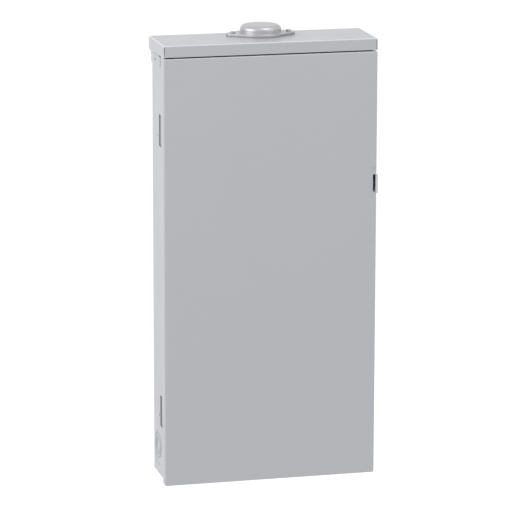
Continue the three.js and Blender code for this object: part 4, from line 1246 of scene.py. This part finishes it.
def handle_shape(axis, hub, root, neck, tip, width, hub_width):
    """A handle about its pivot line: a round hub and a tapered paddle with a blunt tip and grip grooves.

    root, neck and tip are pairs of half width and reach along -Y. The tip's corners are squarer than arcs
    and stop short of the middle, so the paddle ends in a flat.
    """
    corner = [
        (tip[0] * math.cos(a) ** 0.5, tip[1] - TIP_CORNER * (1 - math.sin(a)))
        for a in quarter(range(ARC_STEPS))
    ]
    half = [root, neck, *corner]
    outline = [(w, -reach) for w, reach in half] + [(-w, -reach) for w, reach in reversed(half)]
    grooves = []
    for number in range(3):
        reach = tip[1] - 3.2 * MM - 1.8 * MM * number
        share = (reach - root[1]) / (neck[1] - root[1])
        edge = root[0] + (neck[0] - root[0]) * min(share, 1)
        for side in SIDES.values():
            u = spread(side * (edge - GRIP_DEPTH), side * (edge + 2 * MM))
            grooves.append(rectangle((u[0], -reach - GRIP_HALF), (u[1], -reach + GRIP_HALF)))
    if axis == "X":
        outline = [(v, u) for u, v in outline]
        grooves = [[(v, u) for u, v in groove] for groove in grooves]
    paddle = bevel_sharp(prism(axis, outline, (-width, width)), 0.5 * MM)
    shape = weld(paddle, [rod(axis, (0, 0), hub, (-hub_width, hub_width))])
    return cut(shape, [prism(axis, groove, (-width - PAST, width + PAST)) for groove in grooves])


def add_handle(node, joint, axis, tilt, shape):
    """Stands a handle in at its joint, leaning by its tilt."""
    turn = Matrix.Translation(joint_place(joint)) @ Matrix.Rotation(-tilt, 4, axis)
    bmesh.ops.transform(shape, matrix=turn, verts=shape.verts)
    stand_in(node, shape)


def add_main_breaker():
    softened("main_breaker_case", 0.7 * MM, 3)
    root, neck, tip = (6.5 * MM, 0), (5 * MM, 24 * MM), (3.6 * MM, 27.6 * MM)
    handle = handle_shape("X", 8 * MM, root, neck, tip, 15 * MM, 17.5 * MM)
    add_handle("main_breaker_handle", "main_handle_pivot", "X", MAIN_TILT, handle)


def branch_case_shape(node, side):
    """Branch breaker case with the seam of its two halves round the front."""
    low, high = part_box(node)
    z = (low.z + high.z) / 2
    inner, outer = (low.x, high.x) if side > 0 else (-high.x, -low.x)
    shoulder = low.y + 2 * MM
    profile = [
        (inner - PAST, shoulder),
        (NOSE[0], shoulder),
        (NOSE[0], low.y),
        (NOSE[1], low.y),
        (NOSE[1], shoulder),
        (outer + PAST, shoulder),
    ]
    path = [(side * x, y) for x, y in profile]
    groove = 0.6 * MM
    half = 0.2 * MM
    seam = prism("Z", band(path, groove), (z - half, z + half))
    return cut(bevel_sharp(cad_shape(node), 0.5 * MM), [seam])


def add_branch_breakers():
    root, neck, tip = (4.5 * MM, 0), (3.6 * MM, 19 * MM), (2.6 * MM, 22.4 * MM)
    for name, side in SIDES.items():
        for row in range(1, ROWS_IN_USE + 1):
            place = f"{name}_{row}"
            made("branch_case_" + place, branch_case_shape, side)
            handle = handle_shape("Z", 6 * MM, root, neck, tip, 4.8 * MM, 5.4 * MM)
            joint = "branch_handle_pivot_" + place
            add_handle("branch_handle_" + place, joint, "Z", side * BRANCH_TILT, handle)


# ------------ all pieces


def add_enclosure():
    stand_in("enclosure_body", enclosure_shape())
    stand_in("bottom_end_wall", bottom_wall_shape())
    stand_in("hood", hood_shape())
    stand_in("hub_closing_plate", hub_plate_shape())
    stand_in("hub_gasket", gasket_shape())


add_enclosure()
add_fasteners()
add_door_and_latch()
add_cover()
add_interior()
add_main_breaker()
add_branch_breakers()


# ------------ stage

FLOOR_DROP = 0.9  # the box hangs on a wall, well above the floor
FLOOR_SIZE = 60.0


def add_floor():
    bm = bmesh.new()
    half = FLOOR_SIZE / 2
    level = cad_low.z - FLOOR_DROP
    bm.faces.new([bm.verts.new((x, y, level)) for x, y in rectangle((-half, -half), (half, half))])
    mesh = bpy.data.meshes.new("studio_floor")
    bm.to_mesh(mesh)
    bm.free()
    mesh.materials.append(studio_floor())
    floor = bpy.data.objects.new("studio_floor", mesh)
    bpy.context.scene.collection.objects.link(floor)


def add_softbox(name, place, aim, size, power):
    data = bpy.data.lights.new(name, "AREA")
    data.shape = "RECTANGLE"
    data.size, data.size_y = size
    data.energy = power
    light = bpy.data.objects.new(name, data)
    light.location = place
    light.rotation_euler = (Vector(aim) - Vector(place)).to_track_quat("-Z", "Y").to_euler()
    bpy.context.scene.collection.objects.link(light)


def add_sky(strength):
    world = bpy.data.worlds.new("studio")
    world.use_nodes = True
    background = world.node_tree.nodes["Background"]
    background.inputs["Color"].default_value = (1, 1, 1, 1)
    background.inputs["Strength"].default_value = strength
    bpy.context.scene.world = world


def add_camera():
    """A long lens a little to the left of the box and above it, turned towards its front."""
    yaw = math.radians(14.0747)
    pitch = math.radians(12.860)
    roll = math.radians(0.118)
    distance = 5.824
    aim = Vector((-19.4 * MM, cad_low.y, 8.1 * MM))
    ahead = Vector((math.sin(yaw) * math.cos(pitch), math.cos(yaw) * math.cos(pitch), -math.sin(pitch)))
    level = Vector((math.cos(yaw), -math.sin(yaw), 0))
    upright = level.cross(ahead)
    right = math.cos(roll) * level + math.sin(roll) * upright
    up = math.cos(roll) * upright - math.sin(roll) * level
    data = bpy.data.cameras.new("camera")
    data.sensor_width = 36.0
    data.lens = 234.4
    data.clip_end = 100.0
    camera = bpy.data.objects.new("camera", data)
    turn = Matrix((right, up, -ahead)).transposed().to_4x4()
    camera.matrix_world = Matrix.Translation(aim - distance * ahead) @ turn
    bpy.context.scene.collection.objects.link(camera)
    bpy.context.scene.camera = camera


add_floor()
add_sky(1.08)
add_softbox("key_left", (-1.9, -0.45, 1.05), (0, 0, 0), (1.5, 1.5), 35)
add_softbox("top_front", (0.9, -1.3, 3.1), (0, -0.1, 0.2), (1.6, 0.4), 37)
add_softbox("fill_right", (2.2, -2.6, 1.3), (0, 0, 0.1), (1.6, 1.6), 15)
bpy.context.scene.view_settings.view_transform = "Standard"
add_camera()
